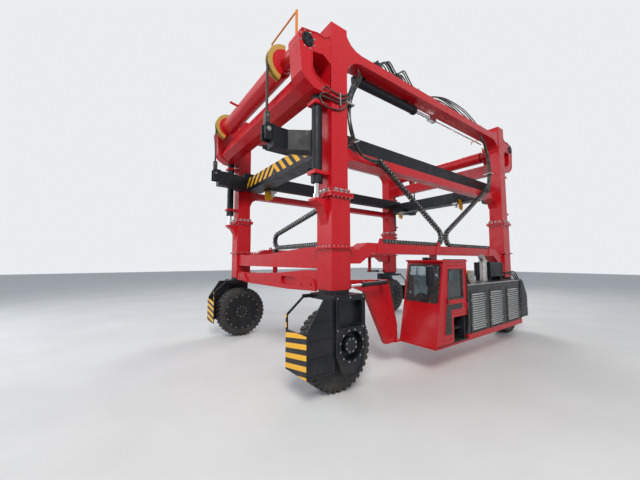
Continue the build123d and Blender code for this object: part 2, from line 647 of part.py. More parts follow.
# 25. Quadrants: grooved rim segments on a hub, the chain lies on the rim
QUAD_LOW = -70.0
QUAD_HIGH = 90.0
with BuildPart() as front_quadrants:
    for sy in SIDES:
        y = sy * CHAIN_Y
        steps = [QUAD_LOW + k * (QUAD_HIGH - QUAD_LOW) / 16 for k in range(17)]
        with BuildSketch(Plane.XZ.offset(-y)):
            Polygon(
                (EAR_X, EAR_Z),
                *[(EAR_X + RIM_R * cos(radians(a)), EAR_Z + RIM_R * sin(radians(a))) for a in steps],
                align=None,
            )
            with Locations((EAR_X, EAR_Z)):
                Circle(SHAFT_R + 60)
        extrude(amount=CHAIN_W / 2 + 6, both=True)
        for cheek in (-1, 1):
            with BuildSketch(Plane.XZ.offset(-(y + cheek * (CHAIN_W / 2 + 16)))):
                Polygon(
                    (EAR_X, EAR_Z),
                    *[(EAR_X + (RIM_R + 34) * cos(radians(a)), EAR_Z + (RIM_R + 34) * sin(radians(a))) for a in steps],
                    align=None,
                )
            extrude(amount=10, both=True)
        with Locations(Location((EAR_X, y, EAR_Z), (90, 0, 0))):
            Cylinder(SHAFT_R + 40, 200, mode=Mode.SUBTRACT)
front_quadrants.part.label = "front_quadrants"
export_step(front_quadrants.part, "parts/front_quadrants.step")

with BuildPart() as rear_quadrants:
    for sy in SIDES:
        y = sy * CHAIN_Y
        with BuildSketch(Plane.XZ.offset(-y)):
            Polygon(
                (-EAR_X, EAR_Z),
                *[(-EAR_X - RIM_R * cos(radians(a)), EAR_Z + RIM_R * sin(radians(a))) for a in steps],
                align=None,
            )
            with Locations((-EAR_X, EAR_Z)):
                Circle(SHAFT_R + 60)
        extrude(amount=CHAIN_W / 2 + 6, both=True)
        for cheek in (-1, 1):
            with BuildSketch(Plane.XZ.offset(-(y + cheek * (CHAIN_W / 2 + 16)))):
                Polygon(
                    (-EAR_X, EAR_Z),
                    *[(-EAR_X - (RIM_R + 34) * cos(radians(a)), EAR_Z + (RIM_R + 34) * sin(radians(a))) for a in steps],
                    align=None,
                )
            extrude(amount=10, both=True)
        with Locations(Location((-EAR_X, y, EAR_Z), (90, 0, 0))):
            Cylinder(SHAFT_R + 40, 200, mode=Mode.SUBTRACT)
rear_quadrants.part.label = "rear_quadrants"
export_step(rear_quadrants.part, "parts/rear_quadrants.step")

# 26. End caps of the shafts, bolted to the outer face of each ear
with BuildPart() as shaft_caps:
    for ex in ENDS:
        for sy in SIDES:
            cap_y = sy * (TRACK_Y + HEAD_HALF + 10)
            with Locations(Location((ex * EAR_X, cap_y, EAR_Z), (90, 0, 0))):
                Cylinder(115, 20)
            for bolt in range(4):
                bx = ex * EAR_X + 80 * cos(radians(45 + 90 * bolt))
                bz = EAR_Z + 80 * sin(radians(45 + 90 * bolt))
                with Locations(Location((bx, cap_y + sy * 16, bz), (90, 0, 0))):
                    Cylinder(20, 16)
shaft_caps.part.label = "shaft_caps"
export_step(shaft_caps.part, "parts/shaft_caps.step")

# 27. Lifting frame: side beams, end beams and horns
with BuildPart() as hoist_side_beams:
    for sy in SIDES:
        with Locations((0, sy * HOIST_SIDE_Y, HOIST_TOP_Z - HOIST_SIDE_H / 2)):
            Box(7100, HOIST_SIDE_W, HOIST_SIDE_H)
        # horns that reach out to the chain anchors
        for ex in ENDS:
            with BuildSketch(Plane.XY.offset(4250)):
                Polygon(
                    (ex * 3500, sy * 1955), (ex * 3500, sy * 1705), (ex * 4060, sy * 1475), (ex * 4360, sy * 1475),
                    (ex * 4360, sy * 1545), (ex * 4360, sy * 1725), (ex * 4060, sy * 1725), (ex * 3700, sy * 1955),
                    align=None,
                )
            extrude(amount=380)
            with Locations((ex * 4400, sy * (CHAIN_Y + 80), 4520), (ex * 4400, sy * (CHAIN_Y - 80), 4520)):
                Box(200, 30, 300)
hoist_side_beams.part.label = "hoist_side_beams"
export_step(hoist_side_beams.part, "parts/hoist_side_beams.step")

with BuildPart() as hoist_end_beams:
    inner_y = HOIST_SIDE_Y - HOIST_SIDE_W / 2
    for ex in ENDS:
        with Locations((ex * HOIST_END_X, 0, 4600 - HOIST_END_H / 2)):
            Box(HOIST_END_W, 2 * inner_y, HOIST_END_H)
        # brackets over the twist locks
        for sy in SIDES:
            with Locations((ex * (TWIST_X + 60), sy * TWIST_Y, 4260)):
                Box(340, 240, 120)
hoist_end_beams.part.label = "hoist_end_beams"
export_step(hoist_end_beams.part, "parts/hoist_end_beams.step")

# 28. Twist locks and the amber guide flaps beside them
with BuildPart() as twist_locks:
    for ex in ENDS:
        for sy in SIDES:
            x = ex * TWIST_X
            y = sy * TWIST_Y
            with Locations((x, y, 4170)):
                Box(170, 160, 60)
            with Locations((x, y, 4115)):
                Cylinder(38, 60)
            with Locations((x, y, 4060)):
                Box(104, 60, 50)
twist_locks.part.label = "twist_locks"
export_step(twist_locks.part, "parts/twist_locks.step")

with BuildPart() as guide_flaps:
    for ex in ENDS:
        for sy in SIDES:
            with BuildSketch(Plane.XZ.offset(-sy * (TWIST_Y + 130))):
                flap_x = HOIST_END_X - HOIST_END_W / 2 - SEAT_GAP
                flap_z = 4600 - HOIST_END_H - SEAT_GAP
                Polygon(
                    (ex * (TWIST_X - 60), 4300), (ex * flap_x, 4300), (ex * flap_x, flap_z),
                    (ex * (TWIST_X + 190), flap_z), (ex * (TWIST_X + 190), 4010),
                    (ex * (TWIST_X + 120), 3920), (ex * (TWIST_X - 60), 3990),
                    align=None,
                )
            extrude(amount=10, both=True)
guide_flaps.part.label = "guide_flaps"
export_step(guide_flaps.part, "parts/guide_flaps.step")

# 29. Leaf chains from the rims down to the horns
CHAIN_LOW_Z = 4520.0
CHAIN_HIGH_Z = EAR_Z + 10.0
LINK = 76.0
with BuildPart() as leaf_chains:
    for ex in ENDS:
        for sy in SIDES:
            cx = ex * CHAIN_X
            with Locations((cx, sy * CHAIN_Y, (CHAIN_LOW_Z + 360 + CHAIN_HIGH_Z) / 2)):
                Box(CHAIN_T, CHAIN_W - 20, CHAIN_HIGH_Z - CHAIN_LOW_Z - 360)
            # clevis at the lower end
            with Locations((cx, sy * CHAIN_Y, CHAIN_LOW_Z + 260)):
                Box(90, 100, 240)
            with Locations((cx, sy * CHAIN_Y, CHAIN_LOW_Z + 90)):
                Box(60, 130 - 2 * SEAT_GAP, 180)
leaf_chains.part.label = "leaf_chains"
export_step(leaf_chains.part, "parts/leaf_chains.step")

# 30. Energy chains: links along a straight, a bend and a return
ECH_W = 96.0
ECH_H = 86.0
ECH_PITCH = 92.0
ECH_R = 190.0
ECH_Y = 2340.0


def chain_path(start, bend_x, low_z, end_x, radius, pitch):
    """Centres and slopes of links from a high start to a low end, both in one plane."""
    turn = 1 if start[0] > bend_x else -1
    cz = low_z + radius
    sx, sz = start
    dx = abs(sx - bend_x)
    dz = sz - cz
    reach = hypot(dx, dz)
    slope = atan2(dz, dx) - atan2(radius, (reach * reach - radius * radius) ** 0.5)
    tx = bend_x - turn * radius * sin(slope)
    tz = cz + radius * cos(slope)
    line = hypot(sx - tx, sz - tz)
    bend = pi - slope
    total = line + radius * bend + abs(end_x - bend_x)
    out = []
    count = int(total / pitch)
    for k in range(count + 1):
        s = k * pitch
        if s < line:
            f = s / line
            out.append((sx + (tx - sx) * f, sz + (tz - sz) * f, degrees(slope) * turn))
        elif s < line + radius * bend:
            a = pi / 2 + slope + (s - line) / radius
            out.append((bend_x + turn * radius * cos(a), cz + radius * sin(a), (degrees(a) - 90) * turn))
        else:
            out.append((bend_x + turn * (s - line - radius * bend), low_z, 0.0))
    return out


ech_low_z = TIE_TOP_Z + ECH_H / 2 + 2.5
side_chain_a = chain_path((2240.0, 4210.0), 300.0, ech_low_z, 2200.0, ECH_R, ECH_PITCH)
side_chain_b = chain_path((-2240.0, 4210.0), -300.0, ech_low_z, -2300.0, ECH_R, ECH_PITCH)
with BuildPart() as side_energy_chains:
    for path in (side_chain_a, side_chain_b):
        places = [Location((px, ECH_Y, pz), (0, -tilt, 0)) for px, pz, tilt in path]
        with Locations(*places):
            Box(ECH_PITCH + 4, ECH_W - 16, ECH_H * 0.62)
        with Locations(*places):
            Box(ECH_PITCH * 0.62, ECH_W, ECH_H)
    # end brackets, one on the middle beam and one on the tie for each chain
    bracket_in = MID_BEAM_Y + MID_BEAM_W / 2 + SEAT_GAP
    for ex in ENDS:
        with Locations((ex * 2250, (bracket_in + ECH_Y) / 2, 4205)):
            Box(120, ECH_Y - bracket_in, 130)
        with Locations((ex * 2230, ECH_Y, TIE_TOP_Z + SEAT_GAP + 25)):
            Box(120, ECH_W + 12, 50)
side_energy_chains.part.label = "side_energy_chains"
export_step(side_energy_chains.part, "parts/side_energy_chains.step")

cross_chain = chain_path((1990.0, 3230.0), 150.0, 2520.0, 1900.0, 160.0, 80.0)
with BuildPart() as cross_energy_chain:
    places = [Location((AXLE_X, py, pz), (tilt, 0, 0)) for py, pz, tilt in cross_chain]
    with Locations(*places):
        Box(80, 84, 46)
    with Locations(*places):
        Box(90, 50, 74)
    with BuildSketch(Plane.YZ.offset(AXLE_X)):
        Polygon(
            (-60, 2486), (1960, 2486), (1960, 2455), (1500, 2455), (1470, 2464), (60, 2464), (60, 2373.8),
            (0, 2370.3), (0, 2464), (-60, 2464),
            align=None,
        )
    extrude(amount=60, both=True)
    # bracket on the leg that holds the upper end
    with Locations((AXLE_X, TRACK_Y - half_socket - SEAT_GAP - 25, 3232)):
        Box(90, 50, 110)
cross_energy_chain.part.label = "cross_energy_chain"
export_step(cross_energy_chain.part, "parts/cross_energy_chain.step")

# 31. Steering heads: turntable, single sided housing and wheel guard
HOUSING_Y = 2500.0 - TRACK_Y
HOUSING_T = 180.0
wheel_names = (("front_left", 1, 1), ("front_right", 1, -1), ("rear_left", -1, 1), ("rear_right", -1, -1))
for name, ex, sy in wheel_names:
    x0 = ex * AXLE_X
    y0 = sy * TRACK_Y
    with BuildPart() as steering_head:
        with Locations((x0, y0, LEG_FOOT_Z - SEAT_GAP - 30)):
            Cylinder(270, 60)
        # top yoke plate
        with Locations((x0 + ex * 20, y0 + sy * 90, 1598)):
            Box(620, 680, 92)
        # housing profile, outboard of the wheel
        outer_y = y0 + sy * (HOUSING_Y + HOUSING_T / 2)
        with BuildSketch(Plane.XZ.offset(-outer_y)):
            Polygon(
                (x0 - ex * 330, 1640), (x0 + ex * 310, 1640), (x0 + ex * 310, 700), (x0 + ex * 190, 430),
                (x0 + ex * 60, 350), (x0 - ex * 120, 350), (x0 - ex * 250, 460), (x0 - ex * 330, 760),
                align=None,
            )
        extrude(amount=HOUSING_T / 2, both=True)
        # upper window recess and round hub recess on the outer face
        face_y = y0 + sy * (HOUSING_Y + HOUSING_T)
        with BuildSketch(Plane.XZ.offset(-face_y)):
            with Locations((x0 - ex * 10, 1340)):
                RectangleRounded(500, 430, 50)
            with Locations((x0 - ex * 20, 830)):
                Circle(235)
        extrude(amount=110, both=True, mode=Mode.SUBTRACT)
        with BuildSketch(Plane.XZ.offset(-(face_y - sy * 60))):
            with Locations((x0 - ex * 20, 830)):
                Circle(130)
        extrude(amount=55, both=True)
        # hub that carries the wheel
        with Locations(Location((x0, y0 + sy * (255 - 20 + SEAT_GAP) / 2, WHEEL_Z), (90, 0, 0))):
            Cylinder(150, 255 + 20 - SEAT_GAP)
        # guard: side panel, front plate and inner stay
        with BuildSketch(Plane.XZ.offset(-(y0 + sy * 390))):
            Polygon(
                (x0 + ex * 300, 1600), (x0 + ex * 520, 1600), (x0 + ex * 820, 1150), (x0 + ex * 820, 460),
                (x0 + ex * 300, 460),
                align=None,
            )
        extrude(amount=12, both=True)
        with Locations((x0 + ex * 830, y0 + sy * 95, 775)):
            Box(24, 614, 630)
        with Locations((x0 + ex * 830, y0 - sy * 195, 1200)):
            Box(30, 30, 260)
        stay_dx = 330.0
        stay_dz = 280.0
        with Locations(Location(
            (x0 + ex * (830 - stay_dx / 2), y0 - sy * 195, 1320 + stay_dz / 2),
            (0, -ex * degrees(atan2(stay_dx, stay_dz)), 0),
        )):
            Box(30, 30, hypot(stay_dx, stay_dz) + 30)
        with Locations((x0 + ex * 415, y0 - sy * 195, 1600)):
            Box(230, 30, 60)
    steering_head.part.label = "head_" + name
    export_step(steering_head.part, "parts/head_" + name + ".step")

# 32. Tyres with shoulder lugs and wheel discs, one of each, set at the four corners
lug_out = ((TYRE_D / 2) ** 2 - 70.0**2) ** 0.5
lug_places = []
for lug in range(LUGS):
    for row in (-1, 1):
        turn = (lug + 0.25 * row) * 360 / LUGS
        lug_places.append(
            Location((0, 0, 0), (0, turn, 0)) * Location((lug_out - LUG_H / 2 - 4, row * 100, 0), (row * 18, 0, 0))
        )
with BuildPart() as tyre:
    with BuildSketch(Plane.XY):
        with BuildLine():
            Polyline(
                (RIM_D / 2, -TYRE_W * 0.36), (TYRE_D * 0.40, -TYRE_W / 2), (TYRE_D / 2 - 60, -TYRE_W / 2),
                (TYRE_D / 2 - LUG_H, -TYRE_W * 0.40), (TYRE_D / 2 - LUG_H, TYRE_W * 0.40),
                (TYRE_D / 2 - 60, TYRE_W / 2), (TYRE_D * 0.40, TYRE_W / 2), (RIM_D / 2, TYRE_W * 0.36),
                close=True,
            )
        make_face()
    revolve(axis=Axis.Y)
    with Locations(*lug_places):
        Box(LUG_H + 8, 160, 92)

with BuildPart() as rim:
    with BuildSketch(Plane.XY):
        with BuildLine():
            Polyline(
                (0, -TYRE_W / 2 + 26), (130, -TYRE_W / 2 + 26), (150, -TYRE_W / 2 + 60), (RIM_D / 2 - 40, -TYRE_W / 2 + 40),
                (RIM_D / 2, -TYRE_W / 2 + 30), (RIM_D / 2, TYRE_W / 2 - 40), (RIM_D / 2 - 40, TYRE_W / 2 - 40),
                (RIM_D / 2 - 60, -20), (0, -20),
                close=True,
            )
        make_face()
    revolve(axis=Axis.Y)

for name, ex, sy in wheel_names:
    corner = Pos(ex * AXLE_X, sy * TRACK_Y, WHEEL_Z)
    tyre_part = corner * tyre.part
    tyre_part.label = "tyre_" + name
    export_step(tyre_part, "parts/tyre_" + name + ".step")
    rim_part = corner * Rot(0, 0, 0 if sy > 0 else 180) * rim.part
    rim_part.label = "rim_" + name
    export_step(rim_part, "parts/rim_" + name + ".step")

# 33. Rods with two prongs above the quadrant rims
with BuildPart() as sensor_rods:
    for ex in ENDS:
        with Locations((ex * 4130, 1640, 6640)):
            Box(24, 1000, 24)
        for prong_y in (1160, 2120):
            with Locations((ex * 4130, prong_y, 6600)):
                Box(20, 20, 110)
        post_foot = EAR_Z + EAR_R - 0.8
        with Locations((ex * 4130, 2120, (post_foot + 6650) / 2)):
            Box(40, 30, 6650 - post_foot)
sensor_rods.part.label = "sensor_rods"
export_step(sensor_rods.part, "parts/sensor_rods.step")
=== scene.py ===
"""Dresses a packed straddle carrier: paints, rubber, glass, fasteners, chain links and the studio round it."""
import json
import math

import bmesh
import bpy
from mathutils import Euler, Matrix, Vector


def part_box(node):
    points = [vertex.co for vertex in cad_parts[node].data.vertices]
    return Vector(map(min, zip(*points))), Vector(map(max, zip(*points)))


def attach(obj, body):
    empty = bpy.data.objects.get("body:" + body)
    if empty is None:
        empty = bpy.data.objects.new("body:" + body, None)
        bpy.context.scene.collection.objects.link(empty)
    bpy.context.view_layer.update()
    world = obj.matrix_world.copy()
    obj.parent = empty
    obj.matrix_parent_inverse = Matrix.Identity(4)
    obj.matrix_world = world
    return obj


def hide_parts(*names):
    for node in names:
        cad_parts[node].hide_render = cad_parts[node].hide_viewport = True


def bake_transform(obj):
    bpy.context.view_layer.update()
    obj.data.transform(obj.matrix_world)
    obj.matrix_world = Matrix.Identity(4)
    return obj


bl_info = {
    "name": "Straddle Carrier Dresser",
    "version": (1, 0, 0),
    "blender": (4, 5, 0),
    "location": "View3D > Sidebar > Carrier",
    "description": "Finishes, fasteners, chains and studio for a gantry straddle carrier",
    "category": "Object",
}

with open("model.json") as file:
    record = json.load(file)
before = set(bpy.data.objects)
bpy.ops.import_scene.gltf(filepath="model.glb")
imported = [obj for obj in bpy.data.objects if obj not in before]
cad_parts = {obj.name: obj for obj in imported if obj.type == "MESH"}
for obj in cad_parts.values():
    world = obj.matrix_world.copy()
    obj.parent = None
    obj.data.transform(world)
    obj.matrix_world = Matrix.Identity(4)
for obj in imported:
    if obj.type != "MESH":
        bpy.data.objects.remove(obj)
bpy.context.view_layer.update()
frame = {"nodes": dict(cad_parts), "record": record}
NODES = frame["nodes"]
PHOTO_W = 640
CAMERA_FOCAL_PX = 284.24
SENSOR = 36.0
ENDS = (1, -1)
# Places on the solids, in metres
AXLE_X = 3.410
TRACK_Y = 2.250
WHEEL_Z = 0.700
SOCKET_HALF = 0.211
SHOE_Z = 3.430
# Heights of the flange faces, each with the side its bolts stand on
FLANGE_TOPS = ((2.447, 1), (3.389, 1), (3.313, -1))
HEAD_FACE = 0.430
GUARD_FACE = 0.402
COLUMN_HEAD_FACE = 0.165
TOP_BEAM_Z = 6.190
EAR_X = 4.090
EAR_Z = 5.930
RIM_R = 0.330
LAP_R = RIM_R + 0.0165
CLEVIS_X = EAR_X + 0.343
CHAIN_Y = 1.600
ECH_Y = 2.340
# The side chains pass from the chassis to the upper frame; the pitch of their links, then the leaf chains' pitch and
# the y of each row of leaf plates
LINK_PITCH = 0.092
LEAF_PITCH = 0.076
LEAF_ROWS = (-0.021, -0.007, 0.007, 0.021)
DOOR_FACE = 3.050
DOOR_PANEL_FACE = 3.060
HOOD_FACE = 3.030
FILTER = (-0.15, 1.835)
COOLER = (-2.020, 1.970)
# How deep an added piece sinks into the face it stands on, and how thick a raised edge is
SINK = 0.002
RISE = 0.012
CORNERS = (("front_left", 1, 1), ("front_right", 1, -1), ("rear_left", -1, 1), ("rear_right", -1, -1))


# Shader building blocks

def begin(name):
    """A new material with its tree, its principled shader and the surface point in the machine's frame."""
    mat = bpy.data.materials.new(name)
    mat.use_nodes = True
    tree = mat.node_tree
    return mat, tree, tree.nodes["Principled BSDF"], tree.nodes.new("ShaderNodeTexCoord").outputs["Object"]


def tune(tree, node, inputs):
    """Sets inputs of a node, each to a number or joined to a socket."""
    for key, value in inputs.items():
        if isinstance(value, bpy.types.NodeSocket):
            tree.links.new(value, node.inputs[key])
        elif value is not None:
            node.inputs[key].default_value = value


def make(tree, kind, inputs, out=0, **setup):
    """A new node with its settings and inputs; gives one of its outputs."""
    node = tree.nodes.new(kind)
    for key, value in setup.items():
        setattr(node, key, value)
    tune(tree, node, inputs)
    return node.outputs[out]


def calc(tree, operation, a, b=None):
    """One math node; a and b are numbers or sockets."""
    return make(tree, "ShaderNodeMath", {0: a, 1: b}, operation=operation)


def blend_colour(tree, share, low, high):
    """Mixes two colours by a share from 0 to 1."""
    return make(tree, "ShaderNodeMix", {0: share, 6: low, 7: high}, 2, data_type="RGBA")


def axes(tree, point):
    """The x, y and z of a point."""
    node = tree.nodes.new("ShaderNodeSeparateXYZ")
    tune(tree, node, {0: point})
    return node.outputs


def stretch(tree, point, scale):
    """The point scaled along each axis, for streaks."""
    return make(tree, "ShaderNodeMapping", {"Vector": point, "Scale": scale})


def noise(tree, point, scale, detail=4.0, rough=0.55):
    """Cloudy noise, 0 to 1."""
    return make(tree, "ShaderNodeTexNoise",
                {"Vector": point, "Scale": scale, "Detail": detail, "Roughness": rough}, "Fac")


def cells(tree, point, scale):
    """Distance to the nearest of many scattered points."""
    return make(tree, "ShaderNodeTexVoronoi", {"Vector": point, "Scale": scale}, "Distance")


def span(tree, value, low, high, out_low=0.0, out_high=1.0):
    """Maps a value from one range to another, clamped."""
    return make(tree, "ShaderNodeMapRange", {0: value, 1: low, 2: high, 3: out_low, 4: out_high})


def bump(tree, bsdf, height, strength, depth=0.01, below=None):
    """Raises the surface by a height from 0 to 1."""
    raised = make(tree, "ShaderNodeBump",
                  {"Strength": strength, "Distance": depth, "Height": height, "Normal": below})
    tune(tree, bsdf, {"Normal": raised})
    return raised


def rgba(colour, factor=1.0):
    """The colour as four numbers, made darker by a factor."""
    return (*(channel * factor for channel in colour[:3]), 1.0)


def enamel(name, paint, dust, gloss=0.3, wear=0.5, coat=0.25, pattern=None):
    """Sprayed machine paint: faded patches, fine streaks, chips, dust low down and a slight peel."""
    mat, tree, bsdf, point = begin(name)
    base = pattern(tree, point) if pattern else rgba(paint)
    patches = span(tree, noise(tree, point, 0.9, 5.0), 0.3, 0.72)
    dark = blend_colour(tree, 0.22 * wear, base, (0.0, 0.0, 0.0, 1.0))
    colour = blend_colour(tree, patches, dark, base)
    runs = noise(tree, stretch(tree, point, (7.0, 7.0, 0.45)), 1.6, 5.0)
    colour = blend_colour(tree, span(tree, runs, 0.55, 0.8, 0.0, 0.22 * wear), colour, rgba(dust))
    chips = span(tree, noise(tree, point, 26.0, 5.0, 0.7), 0.72, 0.76, 0.0, 0.35 * wear)
    colour = blend_colour(tree, chips, colour, (0.03, 0.022, 0.02, 1.0))
    # dry dust that thins out with height
    low = span(tree, axes(tree, point)[2], 0.0, 2.6, 1.0, 0.0)
    cloud = span(tree, noise(tree, point, 3.5, 6.0, 0.65), 0.35, 0.75)
    dusty = calc(tree, "MULTIPLY", calc(tree, "MULTIPLY", low, cloud), 0.55 * wear)
    smears = span(tree, noise(tree, point, 5.0, 6.0, 0.6), 0.3, 0.7, gloss - 0.08, gloss + 0.16)
    tune(tree, bsdf, {
        "Base Color": blend_colour(tree, dusty, colour, rgba(dust)),
        "Roughness": calc(tree, "ADD", smears, calc(tree, "MULTIPLY", dusty, 0.5)),
        "Specular IOR Level": 0.28, "Coat Weight": coat, "Coat Roughness": 0.12})
    waves = bump(tree, bsdf, noise(tree, point, 1.7, 2.0), 0.12, 0.02)
    bump(tree, bsdf, noise(tree, point, 160.0, 2.0), 0.06, 0.002, waves)
    return mat


def metal(name, colour, rough, grain, dull=0.0):
    """Bare or plated steel with fine drawn lines and oily patches."""
    mat, tree, bsdf, point = begin(name)
    lines = noise(tree, stretch(tree, point, grain), 1.0, 3.0)
    patches = span(tree, noise(tree, point, 6.0, 5.0), 0.35, 0.7)
    tune(tree, bsdf, {
        "Base Color": blend_colour(tree, patches, rgba(colour, 0.72 - dull), rgba(colour)),
        "Metallic": 1.0, "Roughness": span(tree, lines, 0.3, 0.7, rough, rough + 0.14)})
    bump(tree, bsdf, lines, 0.05, 0.001)
    return mat


def rubber(name, colour, dust):
    """Tyre rubber: matt, scuffed, with yard dust worked into the tread."""
    mat, tree, bsdf, point = begin(name)
    scuffs = span(tree, noise(tree, point, 9.0, 8.0, 0.7), 0.42, 0.72)
    tune(tree, bsdf, {
        "Base Color": blend_colour(tree, calc(tree, "MULTIPLY", scuffs, 0.16), rgba(colour), rgba(dust)),
        "Roughness": span(tree, scuffs, 0.0, 1.0, 0.62, 0.9)})
    low = bump(tree, bsdf, noise(tree, point, 40.0, 5.0), 0.25, 0.004)
    bump(tree, bsdf, cells(tree, point, 220.0), 0.12, 0.001, low)
    return mat


def moulded(name, colour, dust, rough=0.5):
    """Moulded plastic: an even matt grain, a little dusty."""
    mat, tree, bsdf, point = begin(name)
    patches = span(tree, noise(tree, point, 8.0, 6.0), 0.45, 0.75, 0.0, 0.3)
    tune(tree, bsdf, {
        "Base Color": blend_colour(tree, patches, rgba(colour), rgba(dust)),
        "Roughness": span(tree, noise(tree, point, 30.0), 0.3, 0.7, rough - 0.08, rough + 0.1)})
    bump(tree, bsdf, cells(tree, point, 300.0), 0.1, 0.001)
    return mat


def pane(name, tint):
    """Tinted safety glass with a film of dust."""
    mat, tree, bsdf, point = begin(name)
    film = span(tree, noise(tree, point, 4.0, 6.0), 0.45, 0.8, 0.02, 0.12)
    tune(tree, bsdf, {"Base Color": rgba(tint), "Roughness": film, "Transmission Weight": 0.92, "IOR": 1.45})
    bump(tree, bsdf, noise(tree, point, 2.0, 2.0), 0.03, 0.002)
    return mat


def stripes(paint, stripe, lean, pitch, face_x, low_z=0.0):
    """Slanted stripes of one colour on another, on the faces past an x and above a z."""
    def pattern(tree, point):
        x, y, z = axes(tree, point)
        slant = calc(tree, "ADD", z, calc(tree, "MULTIPLY", calc(tree, "ABSOLUTE", y), lean))
        bands = calc(tree, "LESS_THAN", calc(tree, "FRACT", calc(tree, "DIVIDE", slant, pitch)), 0.5)
        face = calc(tree, "GREATER_THAN", calc(tree, "ABSOLUTE", x), face_x)
        mask = calc(tree, "MULTIPLY", face, calc(tree, "GREATER_THAN", z, low_z))
        return blend_colour(tree, calc(tree, "MULTIPLY", mask, bands), rgba(paint), rgba(stripe))
    return pattern


def rim_paint(side, rim):
    """Hub and web of a quadrant in one paint, its rim in another."""
    def pattern(tree, point):
        x, _, z = axes(tree, point)
        dx = calc(tree, "SUBTRACT", calc(tree, "ABSOLUTE", x), EAR_X)
        dz = calc(tree, "SUBTRACT", z, EAR_Z)
        reach = calc(tree, "SQRT", calc(tree, "ADD", calc(tree, "MULTIPLY", dx, dx), calc(tree, "MULTIPLY", dz, dz)))
        return blend_colour(tree, calc(tree, "GREATER_THAN", reach, 0.275), rgba(side), rgba(rim))
    return pattern


def coat(node, mat):
    """Gives a CAD node's object one material."""
    mesh = NODES[node].data
    mesh.materials.clear()
    mesh.materials.append(mat)


# Building blocks of shapes

class Form:
    """Faces of one piece, gathered in metres in the machine's frame."""

    def __init__(self):
        self.bm = bmesh.new()

    def block(self, centre, size, turn=(0.0, 0.0, 0.0), edge=0.003):
        """Box about its middle with eased edges."""
        verts = bmesh.ops.create_cube(self.bm, size=1.0)["verts"]
        spot = Matrix.Translation(centre) @ Euler(turn).to_matrix().to_4x4() @ Matrix.Diagonal((*size, 1.0))
        bmesh.ops.transform(self.bm, matrix=spot, verts=verts)
        if edge:
            edges = list({e for v in verts for e in v.link_edges})
            bmesh.ops.bevel(self.bm, geom=edges, offset=edge, segments=2, profile=0.5, affect="EDGES")

    def rod(self, start, end, radius, sides=24, tip=None):
        """Round bar between two points, tapered where a tip is given."""
        start, end = Vector(start), Vector(end)
        aim = (end - start).to_track_quat("Z", "Y").to_matrix().to_4x4()
        bmesh.ops.create_cone(
            self.bm, cap_ends=True, segments=sides, radius1=radius, radius2=radius if tip is None else tip,
            depth=(end - start).length, matrix=Matrix.Translation((start + end) / 2) @ aim)

    def prism(self, outline, push, hole=None):
        """Closed outline pushed along a vector, with a hole of as many points where one is given."""
        push = Vector(push)
        rings = []
        for points in (outline,) if hole is None else (outline, hole):
            for k in (0, 1):
                rings.append([self.bm.verts.new(Vector(p) + push * k) for p in points])
        for low, high in zip(rings[::2], rings[1::2]):
            for k in range(len(outline)):
                self.bm.faces.new((low[k - 1], low[k], high[k], high[k - 1]))
        if hole is None:
            self.bm.faces.new(rings[0])
            self.bm.faces.new(rings[1])
            return
        for outer, inner in ((rings[0], rings[2]), (rings[1], rings[3])):
            for k in range(len(outline)):
                self.bm.faces.new((outer[k - 1], outer[k], inner[k], inner[k - 1]))

    def border(self, outer, inner, y, depth):
        """Flat frame between two outlines in X and Z, from one Y through a depth."""
        self.prism(upright(outer, y), (0, depth, 0), upright(inner, y))

    def lathe(self, profile, centre, sides=64):
        """Closed ring about the Y axis from a closed profile of radius and offset."""
        centre = Vector(centre)
        rings = []
        for k in range(sides):
            a = 2 * math.pi * k / sides
            spots = [centre + Vector((r * math.cos(a), d, r * math.sin(a))) for r, d in profile]
            rings.append([self.bm.verts.new(spot) for spot in spots])
        for k in range(sides):
            for j in range(len(profile)):
                self.bm.faces.new((rings[k - 1][j - 1], rings[k - 1][j], rings[k][j], rings[k][j - 1]))

    def mesh(self, name):
        """The finished faces as a mesh, turned outward."""
        bmesh.ops.recalc_face_normals(self.bm, faces=self.bm.faces)
        mesh = bpy.data.meshes.new(name)
        self.bm.to_mesh(mesh)
        self.bm.free()
        return mesh

    def done(self, name, finish, body, nodes=(), angle=35):
        """Ends the piece: mesh, material and body."""
        mesh = self.mesh(name)
        mesh.materials.append(bpy.data.materials[finish])
        return settle(mesh, name, body, nodes, angle)


def added(name, data):
    """A new object in the scene."""
    thing = bpy.data.objects.new(name, data)
    bpy.context.scene.collection.objects.link(thing)
    return thing


def aimed(name, data, spot, look):
    """A camera or a lamp at a spot, turned to look along a direction."""
    thing = added(name, data)
    thing.location = spot
    thing.rotation_mode = "QUATERNION"
    thing.rotation_quaternion = Vector(look).to_track_quat("-Z", "Y")
    return thing


def settle(mesh, name, body, nodes=(), angle=35):
    """Puts a mesh in the scene as a piece that rides on a body."""
    mesh.polygons.foreach_set("use_smooth", [True] * len(mesh.polygons))
    mesh.set_sharp_from_angle(angle=math.radians(angle))
    piece = added(name, mesh)
    if body == "lift_blend":
        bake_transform(piece)
    else:
        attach(piece, body)
    if nodes:
        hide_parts(*nodes)
    return piece


def new_tree(name, sockets):
    """A geometry tree with its named inputs, its entry and its exit."""
    tree = bpy.data.node_groups.new(name, "GeometryNodeTree")
    for label, kind in sockets:
        tree.interface.new_socket(label, in_out="INPUT", socket_type="NodeSocket" + kind)
    tree.interface.new_socket("Result", in_out="OUTPUT", socket_type="NodeSocketGeometry")
    return tree, tree.nodes.new("NodeGroupInput").outputs, tree.nodes.new("NodeGroupOutput")


def close_tree(tree, entry, leave, made):
    """Realizes what a tree made and gives it its finish."""
    real = make(tree, "GeometryNodeRealizeInstances", {"Geometry": made}, "Geometry")
    finish = make(tree, "GeometryNodeSetMaterial", {"Geometry": real, "Material": entry["Finish"]}, "Geometry")
    tune(tree, leave, {"Result": finish})
    return tree


